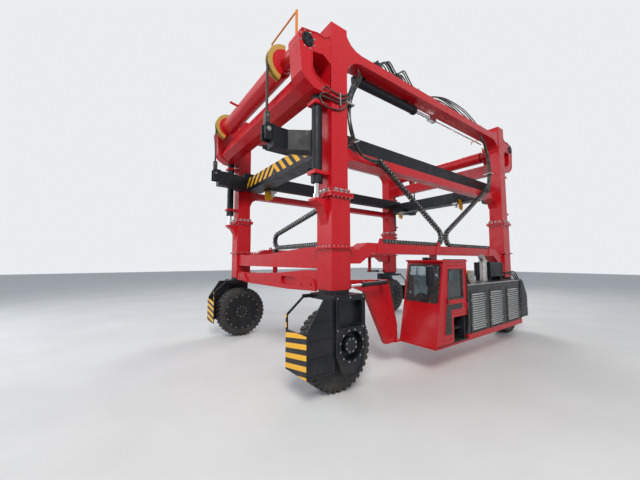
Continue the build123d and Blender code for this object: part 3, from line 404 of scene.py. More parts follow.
def copies_tree():
    """Sets one object on every point, turned by the point's own angles."""
    tree, entry, leave = new_tree("placed_copies", (
        ("Points", "Geometry"), ("Copy", "Object"), ("Size", "Float"), ("Finish", "Material")))
    copy = make(tree, "GeometryNodeObjectInfo", {"Object": entry["Copy"]}, "Geometry")
    turn = make(tree, "GeometryNodeInputNamedAttribute", {"Name": "turn"}, data_type="FLOAT_VECTOR")
    spin = make(tree, "FunctionNodeEulerToRotation", {"Euler": turn}, "Rotation")
    spread = make(tree, "GeometryNodeInstanceOnPoints", {
        "Points": entry["Points"], "Instance": copy, "Rotation": spin, "Scale": entry["Size"]}, "Instances")
    return close_tree(tree, entry, leave, spread)


def sweep_tree():
    """Lays a round hose through the points of each route."""
    tree, entry, leave = new_tree("swept_hoses", (
        ("Routes", "Geometry"), ("Radius", "Float"), ("Step", "Float"), ("Finish", "Material")))
    line = make(tree, "GeometryNodeMeshToCurve", {"Mesh": entry["Routes"]}, "Curve")
    smooth = make(tree, "GeometryNodeCurveSplineType", {"Curve": line}, "Curve", spline_type="CATMULL_ROM")
    even = make(tree, "GeometryNodeResampleCurve", {"Curve": smooth, "Length": entry["Step"]}, "Curve", mode="LENGTH")
    ring = make(tree, "GeometryNodeCurvePrimitiveCircle", {"Resolution": 12, "Radius": entry["Radius"]}, "Curve")
    sweep = make(tree, "GeometryNodeCurveToMesh", {"Curve": even, "Profile Curve": ring, "Fill Caps": True}, "Mesh")
    return close_tree(tree, entry, leave, sweep)


def grown(name, mesh, tree, values):
    """Runs a geometry tree on a mesh and keeps the result as a plain mesh."""
    carrier = added(name, mesh)
    step = carrier.modifiers.new("grow", "NODES")
    step.node_group = tree
    keys = {item.name: item.identifier for item in tree.interface.items_tree if item.in_out == "INPUT"}
    for label, value in values.items():
        step[keys[label]] = value
    graph = bpy.context.evaluated_depsgraph_get()
    result = bpy.data.meshes.new_from_object(carrier.evaluated_get(graph))
    carrier.modifiers.clear()
    bpy.data.objects.remove(carrier)
    return result


def scatter(name, form, spots, finish, body, nodes=(), size=1.0, angle=35):
    """Copies of a form at many spots, each a point and three angles."""
    copy = bpy.data.objects.new(name + "_copy", form.mesh(name + "_copy"))
    points = bpy.data.meshes.new(name + "_points")
    points.from_pydata([tuple(spot) for spot, _ in spots], [], [])
    turns = points.attributes.new("turn", "FLOAT_VECTOR", "POINT")
    turns.data.foreach_set("vector", [c for _, turn in spots for c in turn])
    tree = bpy.data.node_groups.get("placed_copies") or copies_tree()
    result = grown(name + "_grown", points, tree, {
        "Copy": copy, "Size": size, "Finish": bpy.data.materials[finish]})
    bpy.data.objects.remove(copy)
    return settle(result, name, body, nodes, angle)


def hoses(name, routes, radius, body, finish="hose_rubber"):
    """Round hoses through the points of several routes."""
    verts = []
    edges = []
    for route in routes:
        edges += [(len(verts) + k, len(verts) + k + 1) for k in range(len(route) - 1)]
        verts += route
    mesh = bpy.data.meshes.new(name + "_routes")
    mesh.from_pydata(verts, edges, [])
    tree = bpy.data.node_groups.get("swept_hoses") or sweep_tree()
    result = grown(name + "_grown", mesh, tree, {
        "Radius": radius, "Step": 0.03, "Finish": bpy.data.materials[finish]})
    return settle(result, name, body, (), 60)


def facing(direction):
    """Angles that turn +Z to a direction."""
    return tuple(Vector(direction).to_track_quat("Z", "Y").to_euler())


def inset(points, gap):
    """Closed outline drawn in by a gap on every side."""
    count = len(points)
    area = sum(points[k - 1][0] * points[k][1] - points[k][0] * points[k - 1][1] for k in range(count))
    turn = math.copysign(1, area)
    sides = []
    for k, (ax, az) in enumerate(points):
        bx, bz = points[(k + 1) % count]
        run = math.hypot(bx - ax, bz - az)
        nx = -turn * (bz - az) / run
        nz = turn * (bx - ax) / run
        sides.append((nx, nz, nx * ax + nz * az + gap))
    out = []
    for k, (a1, b1, c1) in enumerate(sides):
        a0, b0, c0 = sides[k - 1]
        det = a0 * b1 - a1 * b0
        out.append(((c0 * b1 - c1 * b0) / det, (a0 * c1 - a1 * c0) / det))
    return out


def rounded(cx, cz, width, height, radius, steps=4):
    """Rectangle outline with round corners."""
    out = []
    for sx, sz, start in ((1, -1, -90), (1, 1, 0), (-1, 1, 90), (-1, -1, 180)):
        for k in range(steps + 1):
            a = math.radians(start + 90 * k / steps)
            out.append((cx + sx * (width / 2 - radius) + radius * math.cos(a),
                        cz + sz * (height / 2 - radius) + radius * math.sin(a)))
    return out


def disc(cx, cz, radius, sides=40, first=0.0):
    """Round outline, or the places of a bolt circle whose first bolt is so many steps round."""
    angles = [2 * math.pi * (k + first) / sides for k in range(sides)]
    return [(cx + radius * math.cos(a), cz + radius * math.sin(a)) for a in angles]


def upright(points, y):
    """Points of an outline in X and Z, set at one Y."""
    return [(px, y, pz) for px, pz in points]


def bolt_circle(centre, y, side, radius, count, first=0.5):
    """Spots round a centre in X and Z, on a face that looks along Y."""
    return [(spot, facing((0, side, 0))) for spot in upright(disc(*centre, radius, count, first), y)]


def bolt(radius=0.015, height=0.012):
    """Hexagon head on a washer, along Z from 0 up, with the end of its stud."""
    form = Form()
    form.rod((0, 0, -0.002), (0, 0, 0.004), radius * 1.45, 16)
    form.rod((0, 0, 0.003), (0, 0, height), radius, 6)
    form.rod((0, 0, 0.004), (0, 0, height * 1.6), radius * 0.5, 10)
    return form


# Sizes and colours a user would change

def swatch(name, text, colour):
    """A colour a user may change."""
    return bpy.props.FloatVectorProperty(
        name=name, description=text, subtype="COLOR", size=3, min=0, max=1, default=colour)


def measure(name, text, metres):
    """A length a user may change."""
    return bpy.props.FloatProperty(name=name, description=text, subtype="DISTANCE", unit="LENGTH", default=metres)


class CarrierColours(bpy.types.PropertyGroup):
    """Paints and finishes."""

    red: swatch("Red", "Gantry paint", (0.46, 0.004, 0.010))
    black: swatch("Black", "Lifting frame paint", (0.0045, 0.0062, 0.0105))
    hood: swatch("Hood grey", "Engine hood paint", (0.024, 0.026, 0.028))
    amber: swatch("Amber", "Warning stripes", (0.86, 0.44, 0.02))
    rubber: swatch("Rubber", "Tyres", (0.017, 0.017, 0.018))
    dust: swatch("Dust", "Dry yard dust", (0.30, 0.26, 0.21))
    steel: swatch("Steel", "Bare steel", (0.55, 0.54, 0.52))


class CarrierSizes(bpy.types.PropertyGroup):
    """Sizes of what is added to the solids, and of the studio."""

    floor: measure("Floor", "Side of the studio floor", 120.0)
    key_power: bpy.props.FloatProperty(
        name="Key light", description="Power of the key light", unit="POWER", default=2700.0)
    lugs: bpy.props.IntProperty(name="Lugs", description="Lugs on each side of a tyre", min=8, default=36)
    lug_width: measure("Lug width", "Width of one lug round the tyre", 0.062)
    bolt: measure("Bolt", "Radius of the flange bolt heads", 0.015)
    hose: measure("Hose", "Radius of the gantry hoses", 0.0135)


class CARRIER_OT_studio(bpy.types.Operator):
    """Pale floor, soft lights and the camera at the photograph's angle"""

    bl_idname = "carrier.studio"
    bl_label = "Studio"

    def execute(self, context):
        scene = context.scene
        sizes = scene.carrier_sizes
        scene.view_settings.view_transform = "Standard"
        camera = bpy.data.cameras.new("photo_camera")
        camera.sensor_width = SENSOR
        camera.lens = CAMERA_FOCAL_PX / PHOTO_W * SENSOR
        camera.clip_end = 400.0
        scene.camera = aimed("photo_camera", camera, (6.595, 6.201, 2.201), (-0.5881, -0.8055, 0.0730))
        half = sizes.floor / 2
        mesh = bpy.data.meshes.new("studio_floor")
        mesh.from_pydata([(-half, -half, 0), (half, -half, 0), (half, half, 0), (-half, half, 0)], [], [(0, 1, 2, 3)])
        floor = added("studio_floor", mesh)
        mat, tree, bsdf, point = begin("pale_floor")
        tone = span(tree, noise(tree, point, 0.6, 3.0), 0.3, 0.7)
        pale = blend_colour(tree, tone, (0.62, 0.62, 0.61, 1), (0.68, 0.68, 0.67, 1))
        tune(tree, bsdf, {"Base Color": pale, "Roughness": 0.85})
        mesh.materials.append(mat)
        world = bpy.data.worlds.new("studio_air")
        world.use_nodes = True
        scene.world = world
        tree = world.node_tree
        rays = tree.nodes.new("ShaderNodeLightPath").outputs
        seen = calc(tree, "MAXIMUM", calc(tree, "MAXIMUM", rays["Is Camera Ray"], rays["Is Glossy Ray"]),
                    rays["Is Transmission Ray"])
        tune(tree, tree.nodes["Background"], {
            "Strength": span(tree, seen, 0.0, 1.0, 0.50, 0.92),
            "Color": blend_colour(tree, seen, (0.80, 0.88, 1.0, 1), (0.90, 0.92, 0.95, 1))})
        lamps = (
            ("key_light", (11.0, 13.0, 14.0), 7.0, sizes.key_power, (1.0, 0.96, 0.90)),
            ("fill_light", (16.0, -7.0, 8.0), 9.0, sizes.key_power * 0.35, (0.88, 0.93, 1.0)),
            ("rim_light", (-12.0, -9.0, 12.0), 8.0, sizes.key_power * 0.45, (1.0, 0.98, 0.95)),
        )
        for name, spot, side, power, tint in lamps:
            lamp = bpy.data.lights.new(name, "AREA")
            lamp.shape = "SQUARE"
            lamp.size = side
            lamp.energy = power
            lamp.color = tint
            aimed(name, lamp, spot, Vector((0, 0, 2.8)) - Vector(spot))
        return {"FINISHED"}


class CARRIER_OT_finishes(bpy.types.Operator):
    """Paint, rubber, glass and metal on every solid of the machine"""

    bl_idname = "carrier.finishes"
    bl_label = "Finishes"

    def execute(self, context):
        tint = context.scene.carrier_colours
        dust = tint.dust[:]
        black = tint.black[:]
        amber = tint.amber[:]
        gold = (0.44, 0.29, 0.06)
        by_slot = {
            "red_paint": enamel("red_enamel", tint.red[:], dust, 0.30, 0.16, 0.10),
            "black_paint": enamel("black_enamel", black, dust, 0.46, 0.14, 0.02),
            "hood_grey": enamel("hood_enamel", tint.hood[:], dust, 0.38, 0.3, 0.1),
            "tyre_black": rubber("tyre_rubber", tint.rubber[:], dust),
            "chrome": metal("chrome_rod", (0.78, 0.78, 0.80), 0.08, (1.0, 1.0, 60.0)),
            "glass": pane("safety_glass", (0.34, 0.44, 0.46)),
            "amber": enamel("amber_paint", amber, dust, 0.4, 0.8, 0.05),
            "steel": metal("bare_steel", tint.steel[:], 0.34, (20.0, 20.0, 20.0)),
            "chain_steel": metal("oily_steel", (0.12, 0.11, 0.10), 0.38, (40.0, 40.0, 4.0), 0.2),
            "link_black": moulded("link_plastic", (0.022, 0.021, 0.021), dust, 0.5),
            "seat_black": moulded("seat_vinyl", (0.02, 0.02, 0.022), dust, 0.55),
            "filter_tan": moulded("filter_plastic", (0.30, 0.23, 0.11), dust, 0.45),
            "rod_orange": enamel("rod_orange", (0.62, 0.20, 0.02), dust, 0.35, 0.6, 0.1),
            "quadrant_paint": enamel("quadrant_paint", gold, dust, 0.35, 0.5, 0.1, rim_paint(tint.red[:], gold)),
        }
        # the upper two thirds of the end beams' outer faces, and the front plates of the wheel guards
        ends = enamel("chevron_paint", black, dust, 0.38, 0.14, 0.05, stripes(black, amber, 1.0, 0.3, 3.466, 4.33))
        guard = enamel("guard_paint", black, dust, 0.36, 0.16, 0.08, stripes(black, amber, -0.16, 0.158, 4.2505))
        for name, base, gloss in (
                ("head_gloss", black, 0.30), ("wheel_gloss", (0.006, 0.007, 0.010), 0.34),
                ("panel_grey", (0.020, 0.021, 0.023), 0.42), ("slat_grey", (0.44, 0.45, 0.45), 0.36)):
            enamel(name, base, dust, gloss, 0.12, 0.1)
        metal("zinc_steel", (0.46, 0.47, 0.47), 0.30, (30.0, 30.0, 30.0))
        moulded("hose_rubber", (0.006, 0.006, 0.007), dust, 0.38)
        moulded("gasket_rubber", (0.004, 0.004, 0.005), dust, 0.45)
        pane("lamp_lens", (0.85, 0.88, 0.90))
        for row in frame["record"]["subparts"]:
            coat(row["node"], by_slot[row["material_slot"]])
        coat("hoist_end_beams", ends)
        for name, _, _ in CORNERS:
            coat("head_" + name, guard)
        return {"FINISHED"}


class CARRIER_OT_tyres(bpy.types.Operator):
    """Lugged tyres, wheel covers and stud rings on the four wheels"""

    bl_idname = "carrier.tyres"
    bl_label = "Tyres"

    def execute(self, context):
        sizes = context.scene.carrier_sizes
        side = ((0.330, 0.138), (0.345, 0.160), (0.372, 0.172), (0.384, 0.169), (0.398, 0.178), (0.470, 0.187),
                (0.482, 0.184), (0.494, 0.190), (0.560, 0.194), (0.620, 0.192), (0.652, 0.176), (0.669, 0.156),
                (0.674, 0.120), (0.674, 0.040))
        profile = [(r, -d) for r, d in side] + [(r, d) for r, d in reversed(side)]
        for name, ex, sy in CORNERS:
            hub = (ex * AXLE_X, sy * TRACK_Y, WHEEL_Z)
            form = Form()
            form.lathe(profile, hub, 96)
            form.done("tyre_body_" + name, "tyre_rubber", "wheel_" + name, ("tyre_" + name,), 50)
            lug = Form()
            low = [(0.664, 0.020), (0.697, 0.024), (0.697, 0.150), (0.688, 0.176), (0.660, 0.192), (0.622, 0.1945),
                   (0.618, 0.184), (0.650, 0.170)]
            half = sizes.lug_width / 2
            lug.prism([(r, d, -half + 0.28 * (d - 0.1)) for r, d in low], (0, 0, 2 * half))
            edges = [e for e in lug.bm.edges if not e.is_boundary]
            bmesh.ops.bevel(lug.bm, geom=edges, offset=0.004, segments=1, profile=0.5, affect="EDGES")
            spots = []
            for k in range(sizes.lugs):
                for row in (0, 1):
                    spin = 2 * math.pi * (k + 0.5 * row) / sizes.lugs
                    turn = Matrix.Rotation(spin, 4, "Y") @ Matrix.Rotation(math.pi * row, 4, "X")
                    spots.append((hub, tuple(turn.to_euler())))
            scatter("tyre_lugs_" + name, lug, spots, "tyre_rubber", "wheel_" + name, angle=30)
            # cover over the inner side, with its studs
            inner = -sy
            cover = Form()
            rim = ((0.002, 0.150), (0.078, 0.150), (0.084, 0.160), (0.096, 0.160), (0.104, 0.148), (0.190, 0.150),
                   (0.200, 0.176), (0.212, 0.180), (0.430, 0.184), (0.440, 0.196), (0.500, 0.200), (0.512, 0.194),
                   (0.512, 0.170), (0.300, 0.150), (0.002, 0.120))
            cover.lathe([(r, inner * d) for r, d in rim], hub, 72)
            cover.done("wheel_cover_" + name, "wheel_gloss", "wheel_" + name, (), 30)
            ring = []
            for radius, count, depth in ((0.145, 10, 0.150), (0.470, 16, 0.198)):
                ring += bolt_circle(hub[::2], hub[1] + inner * depth, inner, radius, count, 0.0)
            scatter("wheel_studs_" + name, bolt(0.012, 0.010), ring, "zinc_steel", "wheel_" + name)
        return {"FINISHED"}


class CARRIER_OT_fasteners(bpy.types.Operator):
    """Flange bolts, guide shoe covers and the bolts of the column heads"""

    bl_idname = "carrier.fasteners"
    bl_label = "Fasteners"

    def execute(self, context):
        sizes = context.scene.carrier_sizes
        spots = []
        shoes = []
        line = SOCKET_HALF + 0.024
        rows = (-0.18, -0.09, 0.0, 0.09, 0.18)
        for _, ex, sy in CORNERS:
            x = ex * AXLE_X
            y = sy * TRACK_Y
            # base flange, then the top pair from above and from below, where a gusset takes one side
            for z, up in FLANGE_TOPS:
                aim = facing((0, 0, up))
                for d in rows:
                    spots += [((x + d, y + side * line, z), aim) for side in ENDS]
                    spots.append(((x - ex * line, y + d, z), aim))
                    if up > 0:
                        spots.append(((x + ex * line, y + d, z), aim))
            for d in (-0.115, 0.0, 0.115):
                for side in ENDS:
                    shoes.append(((x + d, y + side * SOCKET_HALF, SHOE_Z), facing((0, side, 0))))
                    shoes.append(((x + side * SOCKET_HALF, y + d, SHOE_Z), facing((side, 0, 0))))
        scatter("flange_bolts", bolt(sizes.bolt), spots, "zinc_steel", "chassis")
        shoe = Form()
        shoe.block((0, 0, 0.007), (0.066, 0.066, 0.014))
        shoe.rod((0, 0, 0.012), (0, 0, 0.034), 0.016, 6)
        shoe.rod((0, 0, 0.03), (0, 0, 0.062), 0.010, 12)
        scatter("shoe_covers", shoe, shoes, "zinc_steel", "chassis")
        # raised edges and bolts of the column heads
        outline = [(3.595, 6.230), (3.740, 6.130), (3.890, 6.150), (4.010, 6.120), (4.210, 6.085), (4.268, 5.990),
                   (4.275, 5.930), (4.250, 5.760), (4.215, 5.340), (4.140, 5.240), (3.960, 5.130), (3.760, 5.110),
                   (3.595, 5.110)]
        hole = [(3.620, 5.690), (3.700, 5.760), (3.770, 5.795), (3.990, 5.760), (3.985, 5.480), (3.930, 5.380),
                (3.800, 5.300), (3.620, 5.270)]
        edges = Form()
        caps = []
        for _, ex, sy in CORNERS:
            face = sy * (TRACK_Y + COLUMN_HEAD_FACE)
            for ring, gap in ((outline, 0.020), (hole, -0.020)):
                pair = ([(ex * px, pz) for px, pz in row] for row in (ring, inset(ring, gap)))
                edges.border(*pair, face - sy * SINK, sy * RISE)
            caps += bolt_circle((ex * EAR_X, EAR_Z), face, sy, 0.15, 8)
        edges.done("head_edges", "red_enamel", "upper_frame")
        scatter("head_bolts", bolt(0.012, 0.010), caps, "zinc_steel", "upper_frame")
        return {"FINISHED"}


class CARRIER_OT_steering(bpy.types.Operator):
    """Raised frames, hub rings and bolts of the steering heads, and the steering cylinders"""

    bl_idname = "carrier.steering"
    bl_label = "Steering heads"

    def execute(self, context):
        for name, ex, sy in CORNERS:
            x = ex * AXLE_X
            y = sy * TRACK_Y
            face = y + sy * HEAD_FACE
            # the right heads' faces are the edge of the solids' box, so nothing stands proud of them
            proud = sy > 0
            body = "steer_" + name
            form = Form()
            housing = [(x - ex * 0.330, 1.640), (x + ex * 0.310, 1.640), (x + ex * 0.310, 0.700),
                       (x + ex * 0.190, 0.430), (x + ex * 0.060, 0.350), (x - ex * 0.120, 0.350),
                       (x - ex * 0.250, 0.460), (x - ex * 0.330, 0.760)]
            window = rounded(x - ex * 0.010, 1.340, 0.500, 0.430, 0.050)
            hub = (x - ex * 0.020, 0.830)
            rings = [(0.205, 0.188, -0.109, 0.020), (0.168, 0.150, -0.109, 0.034)]
            if proud:
                window_edge = rounded(x - ex * 0.010, 1.340, 0.546, 0.476, 0.070)
                for outer, inner in ((housing, inset(housing, 0.022)), (window, window_edge)):
                    form.border(outer, inner, face - sy * SINK, sy * RISE)
                rings.append((0.272, 0.236, -SINK, 0.014))
            for outer, inner, depth, rise in rings:
                form.border(disc(*hub, outer), disc(*hub, inner), face + sy * depth, sy * rise)
            # ribs on the guard's side panel
            panel = y + sy * (GUARD_FACE + 0.004)
            for z, front in ((0.74, 0.80), (1.00, 0.80), (0.49, 0.80), (1.27, 0.72)):
                form.block((x + ex * (0.33 + front) / 2, panel, z), (front - 0.33, 0.012, 0.014), edge=SINK)
            form.done("head_frames_" + name, "head_gloss", body)
            spots = []
            for radius, count, depth in ((0.105, 8, -0.005), (0.254, 12, 0.012))[:1 + proud]:
                spots += bolt_circle(hub, face + sy * depth, sy, radius, count)
            for dx, z in ((-0.29, 1.60), (0.0, 1.60), (0.27, 1.60), (-0.29, 1.10), (0.27, 1.10)) if proud else ():
                spots.append(((x + ex * dx, face, z), facing((0, sy, 0))))
            spots += [((px, py, 1.642), facing((0, 0, 1))) for px, py in disc(x, y, 0.255, 16, 0.5)]
            scatter("head_studs_" + name, bolt(0.011, 0.010 if proud else 0.003), spots, "zinc_steel", body)
        # steering cylinders beside the leg feet, on the legs' outer side
        rods = Form()
        barrels = Form()
        hangers = Form()
        for _, ex, sy in CORNERS:
            y = sy * (TRACK_Y + 0.155)
            foot = ex * (AXLE_X - SOCKET_HALF)
            back = foot - ex * 0.98
            gland = (foot - ex * 0.34, y, 1.763)
            rods.rod((foot - ex * 0.02, y, 1.755), (foot - ex * 0.40, y, 1.765), 0.024, 20)
            barrels.rod(gland, (back, y, 1.778), 0.042, 24)
            barrels.rod(gland, (foot - ex * 0.40, y, 1.764), 0.050, 24)
            barrels.block((foot - ex * 0.012, y, 1.755), (0.05, 0.07, 0.09))
            barrels.block((back, y - sy * 0.10, 1.778), (0.07, 0.26, 0.07))
            if sy < 0:
                hangers.block((back, y + 0.09, 2.045), (0.16, 0.030, 0.64))
                hangers.block((back, y + 0.09, 2.336), (0.30, 0.110, 0.024))
                hangers.block((back, y + 0.13, 2.140), (0.024, 0.090, 0.40))
        hangers.done("cylinder_hangers", "red_enamel", "chassis")
        rods.done("steering_rods", "chrome_rod", "chassis")
        barrels.done("steering_barrels", "head_gloss", "chassis")
        return {"FINISHED"}


def side_path(start, bend_x, low_z, end_x, radius, pitch):
    """Centres and slopes of the links of one side chain, as the solids have them."""
    turn = 1 if start[0] > bend_x else -1
    cz = low_z + radius
    sx, sz = start
    dx = abs(sx - bend_x)
    dz = sz - cz
    reach = math.hypot(dx, dz)
    slope = math.atan2(dz, dx) - math.atan2(radius, (reach * reach - radius * radius) ** 0.5)
    tx = bend_x - turn * radius * math.sin(slope)
    tz = cz + radius * math.cos(slope)
    line = math.hypot(sx - tx, sz - tz)
    bend = math.pi - slope
    total = line + radius * bend + abs(end_x - bend_x)
    out = []
    for k in range(int(total / pitch) + 1):
        s = k * pitch
        if s < line:
            f = s / line
            out.append((sx + (tx - sx) * f, sz + (tz - sz) * f, slope * turn))
        elif s < line + radius * bend:
            a = math.pi / 2 + slope + (s - line) / radius
            out.append((bend_x + turn * radius * math.cos(a), cz + radius * math.sin(a), (a - math.pi / 2) * turn))
        else:
            out.append((bend_x + turn * (s - line - radius * bend), low_z, math.pi * turn))
    return out


def chain_link(length, width, height):
    """One open link along X: two waisted side plates, their pins and four cross bars."""
    form = Form()
    a = length * 0.62
    b = height / 2
    plate = [(-a, -b * 0.55), (-a * 0.6, -b), (-a * 0.1, -b * 0.72), (a * 0.4, -b), (a, -b * 0.55),
             (a, b * 0.55), (a * 0.4, b), (-a * 0.1, b * 0.72), (-a * 0.6, b), (-a, b * 0.55)]
    for side in ENDS:
        form.border(plate, [(px * 0.55, pz * 0.42) for px, pz in plate], side * width / 2, -side * 0.010)
        form.rod((a * 0.78, side * (width / 2 + 0.002), 0), (a * 0.78, side * (width / 2 - 0.014), 0), b * 0.34, 14)
        for x in (-a * 0.45, a * 0.30):
            form.block((x, 0, side * (b - 0.006)), (0.018, width - 0.004, 0.008), edge=0.002)
    return form


class CARRIER_OT_chains(bpy.types.Operator):
    """Open links of the side energy chains with the hoses inside, and the plates of the leaf chains"""

    bl_idname = "carrier.chains"
    bl_label = "Chains"

    def execute(self, context):
        # the floor of the tray, half a link, and what keeps them apart
        low = 2.545 + 0.043 + 0.0025
        paths = [side_path((ex * 2.24, 4.21), ex * 0.30, low, end, 0.19, LINK_PITCH)
                 for ex, end in ((1, 2.20), (-1, -2.30))]
        spots = [((x, ECH_Y, z), (0.0, -tilt, 0.0)) for path in paths for x, z, tilt in path]
        scatter("side_chain_links", chain_link(LINK_PITCH, 0.096, 0.086), spots, "link_plastic", "lift_blend",
                ("side_energy_chains",))
        rivets = [((x + 0.044 * math.cos(tilt), ECH_Y + side * 0.049, z + 0.044 * math.sin(tilt)), facing((0, side, 0)))
                  for path in paths for x, z, tilt in path for side in ENDS]
        scatter("side_chain_rivets", bolt(0.012, 0.006), rivets, "zinc_steel", "lift_blend")
        routes = [[(x + dz * math.sin(-tilt), ECH_Y + dy, z + dz * math.cos(tilt)) for x, z, tilt in path[::2]]
                  for path in paths for dy, dz in ((-0.026, 0.008), (0.0, -0.010), (0.026, 0.009))]
        hoses("side_chain_hoses", routes, 0.012, "lift_blend")
        form = Form()
        feet = Form()
        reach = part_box("mid_side_beams")[1][1]
        for ex in ENDS:
            form.block((ex * 2.25, (reach + ECH_Y) / 2, 4.205), (0.12, ECH_Y - reach, 0.13))
            feet.block((ex * 2.23, ECH_Y, 2.5703), (0.12, 0.108, 0.05))
        form.done("chain_brackets", "oily_steel", "upper_frame")
        feet.done("chain_feet", "oily_steel", "chassis")
        cross = side_path((1.99, 3.23), 0.15, 2.52, 1.90, 0.16, 0.080)
        studs = [((AXLE_X + side * 0.045, y, z), facing((side, 0, 0))) for y, z, _ in cross for side in ENDS]
        scatter("cross_chain_rivets", bolt(0.011, 0.006), studs, "zinc_steel", "chassis")
        # leaf chains: rows of plates and pins down to the clevis
        plate = Form()
        for k, y in enumerate(LEAF_ROWS):
            shift = 0.019 if k % 2 else -0.019
            outline = [(0.0145 * math.cos(a), shift + s * 0.019 + 0.0145 * math.sin(a))
                       for s, start in ((1, 0), (-1, math.pi)) for a in (start + math.pi * j / 6 for j in range(7))]
            plate.prism(upright(outline, y - 0.005), (0, 0.010, 0))
        for z in (-0.038, 0.0, 0.038):
            plate.rod((0, -0.030, z), (0, 0.030, z), 0.006, 10)
        chains = []
        laps = {1: [], -1: []}
        for _, ex, sy in CORNERS:
            y = sy * CHAIN_Y
            chains += [((ex * (EAR_X + LAP_R), y, 4.90 + LEAF_PITCH * k), (0.0, 0.0, 0.0)) for k in range(14)]
            for k in range(1, 7):
                a = math.radians(13.0 * k)
                spot = (ex * (EAR_X + LAP_R * math.cos(a)), y, EAR_Z + LAP_R * math.sin(a))
                laps[ex].append((spot, (0.0, -ex * a, 0.0)))
        scatter("leaf_chain_plates", plate, chains, "oily_steel", "lifting_frame")
        for ex, tube in ((1, "front_tube"), (-1, "rear_tube")):
            lap = Form()
            for y in LEAF_ROWS:
                lap.block((0, y, 0), (0.026, 0.010, 0.072), edge=0.004)
            for z in (-0.02, 0.02):
                lap.rod((0, -0.030, z), (0, 0.030, z), 0.006, 10)
            scatter("chain_lap_" + tube, lap, laps[ex], "oily_steel", tube)
        pins = Form()
        for _, ex, sy in CORNERS:
            for near, far, z, radius, sides in (
                    (-0.112, 0.112, 4.56, 0.028, 24), (0.095, 0.104, 4.56, 0.046, 6), (-0.056, 0.056, 4.83, 0.016, 16)):
                ends = [(ex * CLEVIS_X, sy * (CHAIN_Y + across), z) for across in (near, far)]
                pins.rod(*ends, radius, sides)
        pins.done("clevis_pins", "zinc_steel", "lifting_frame")
        return {"FINISHED"}


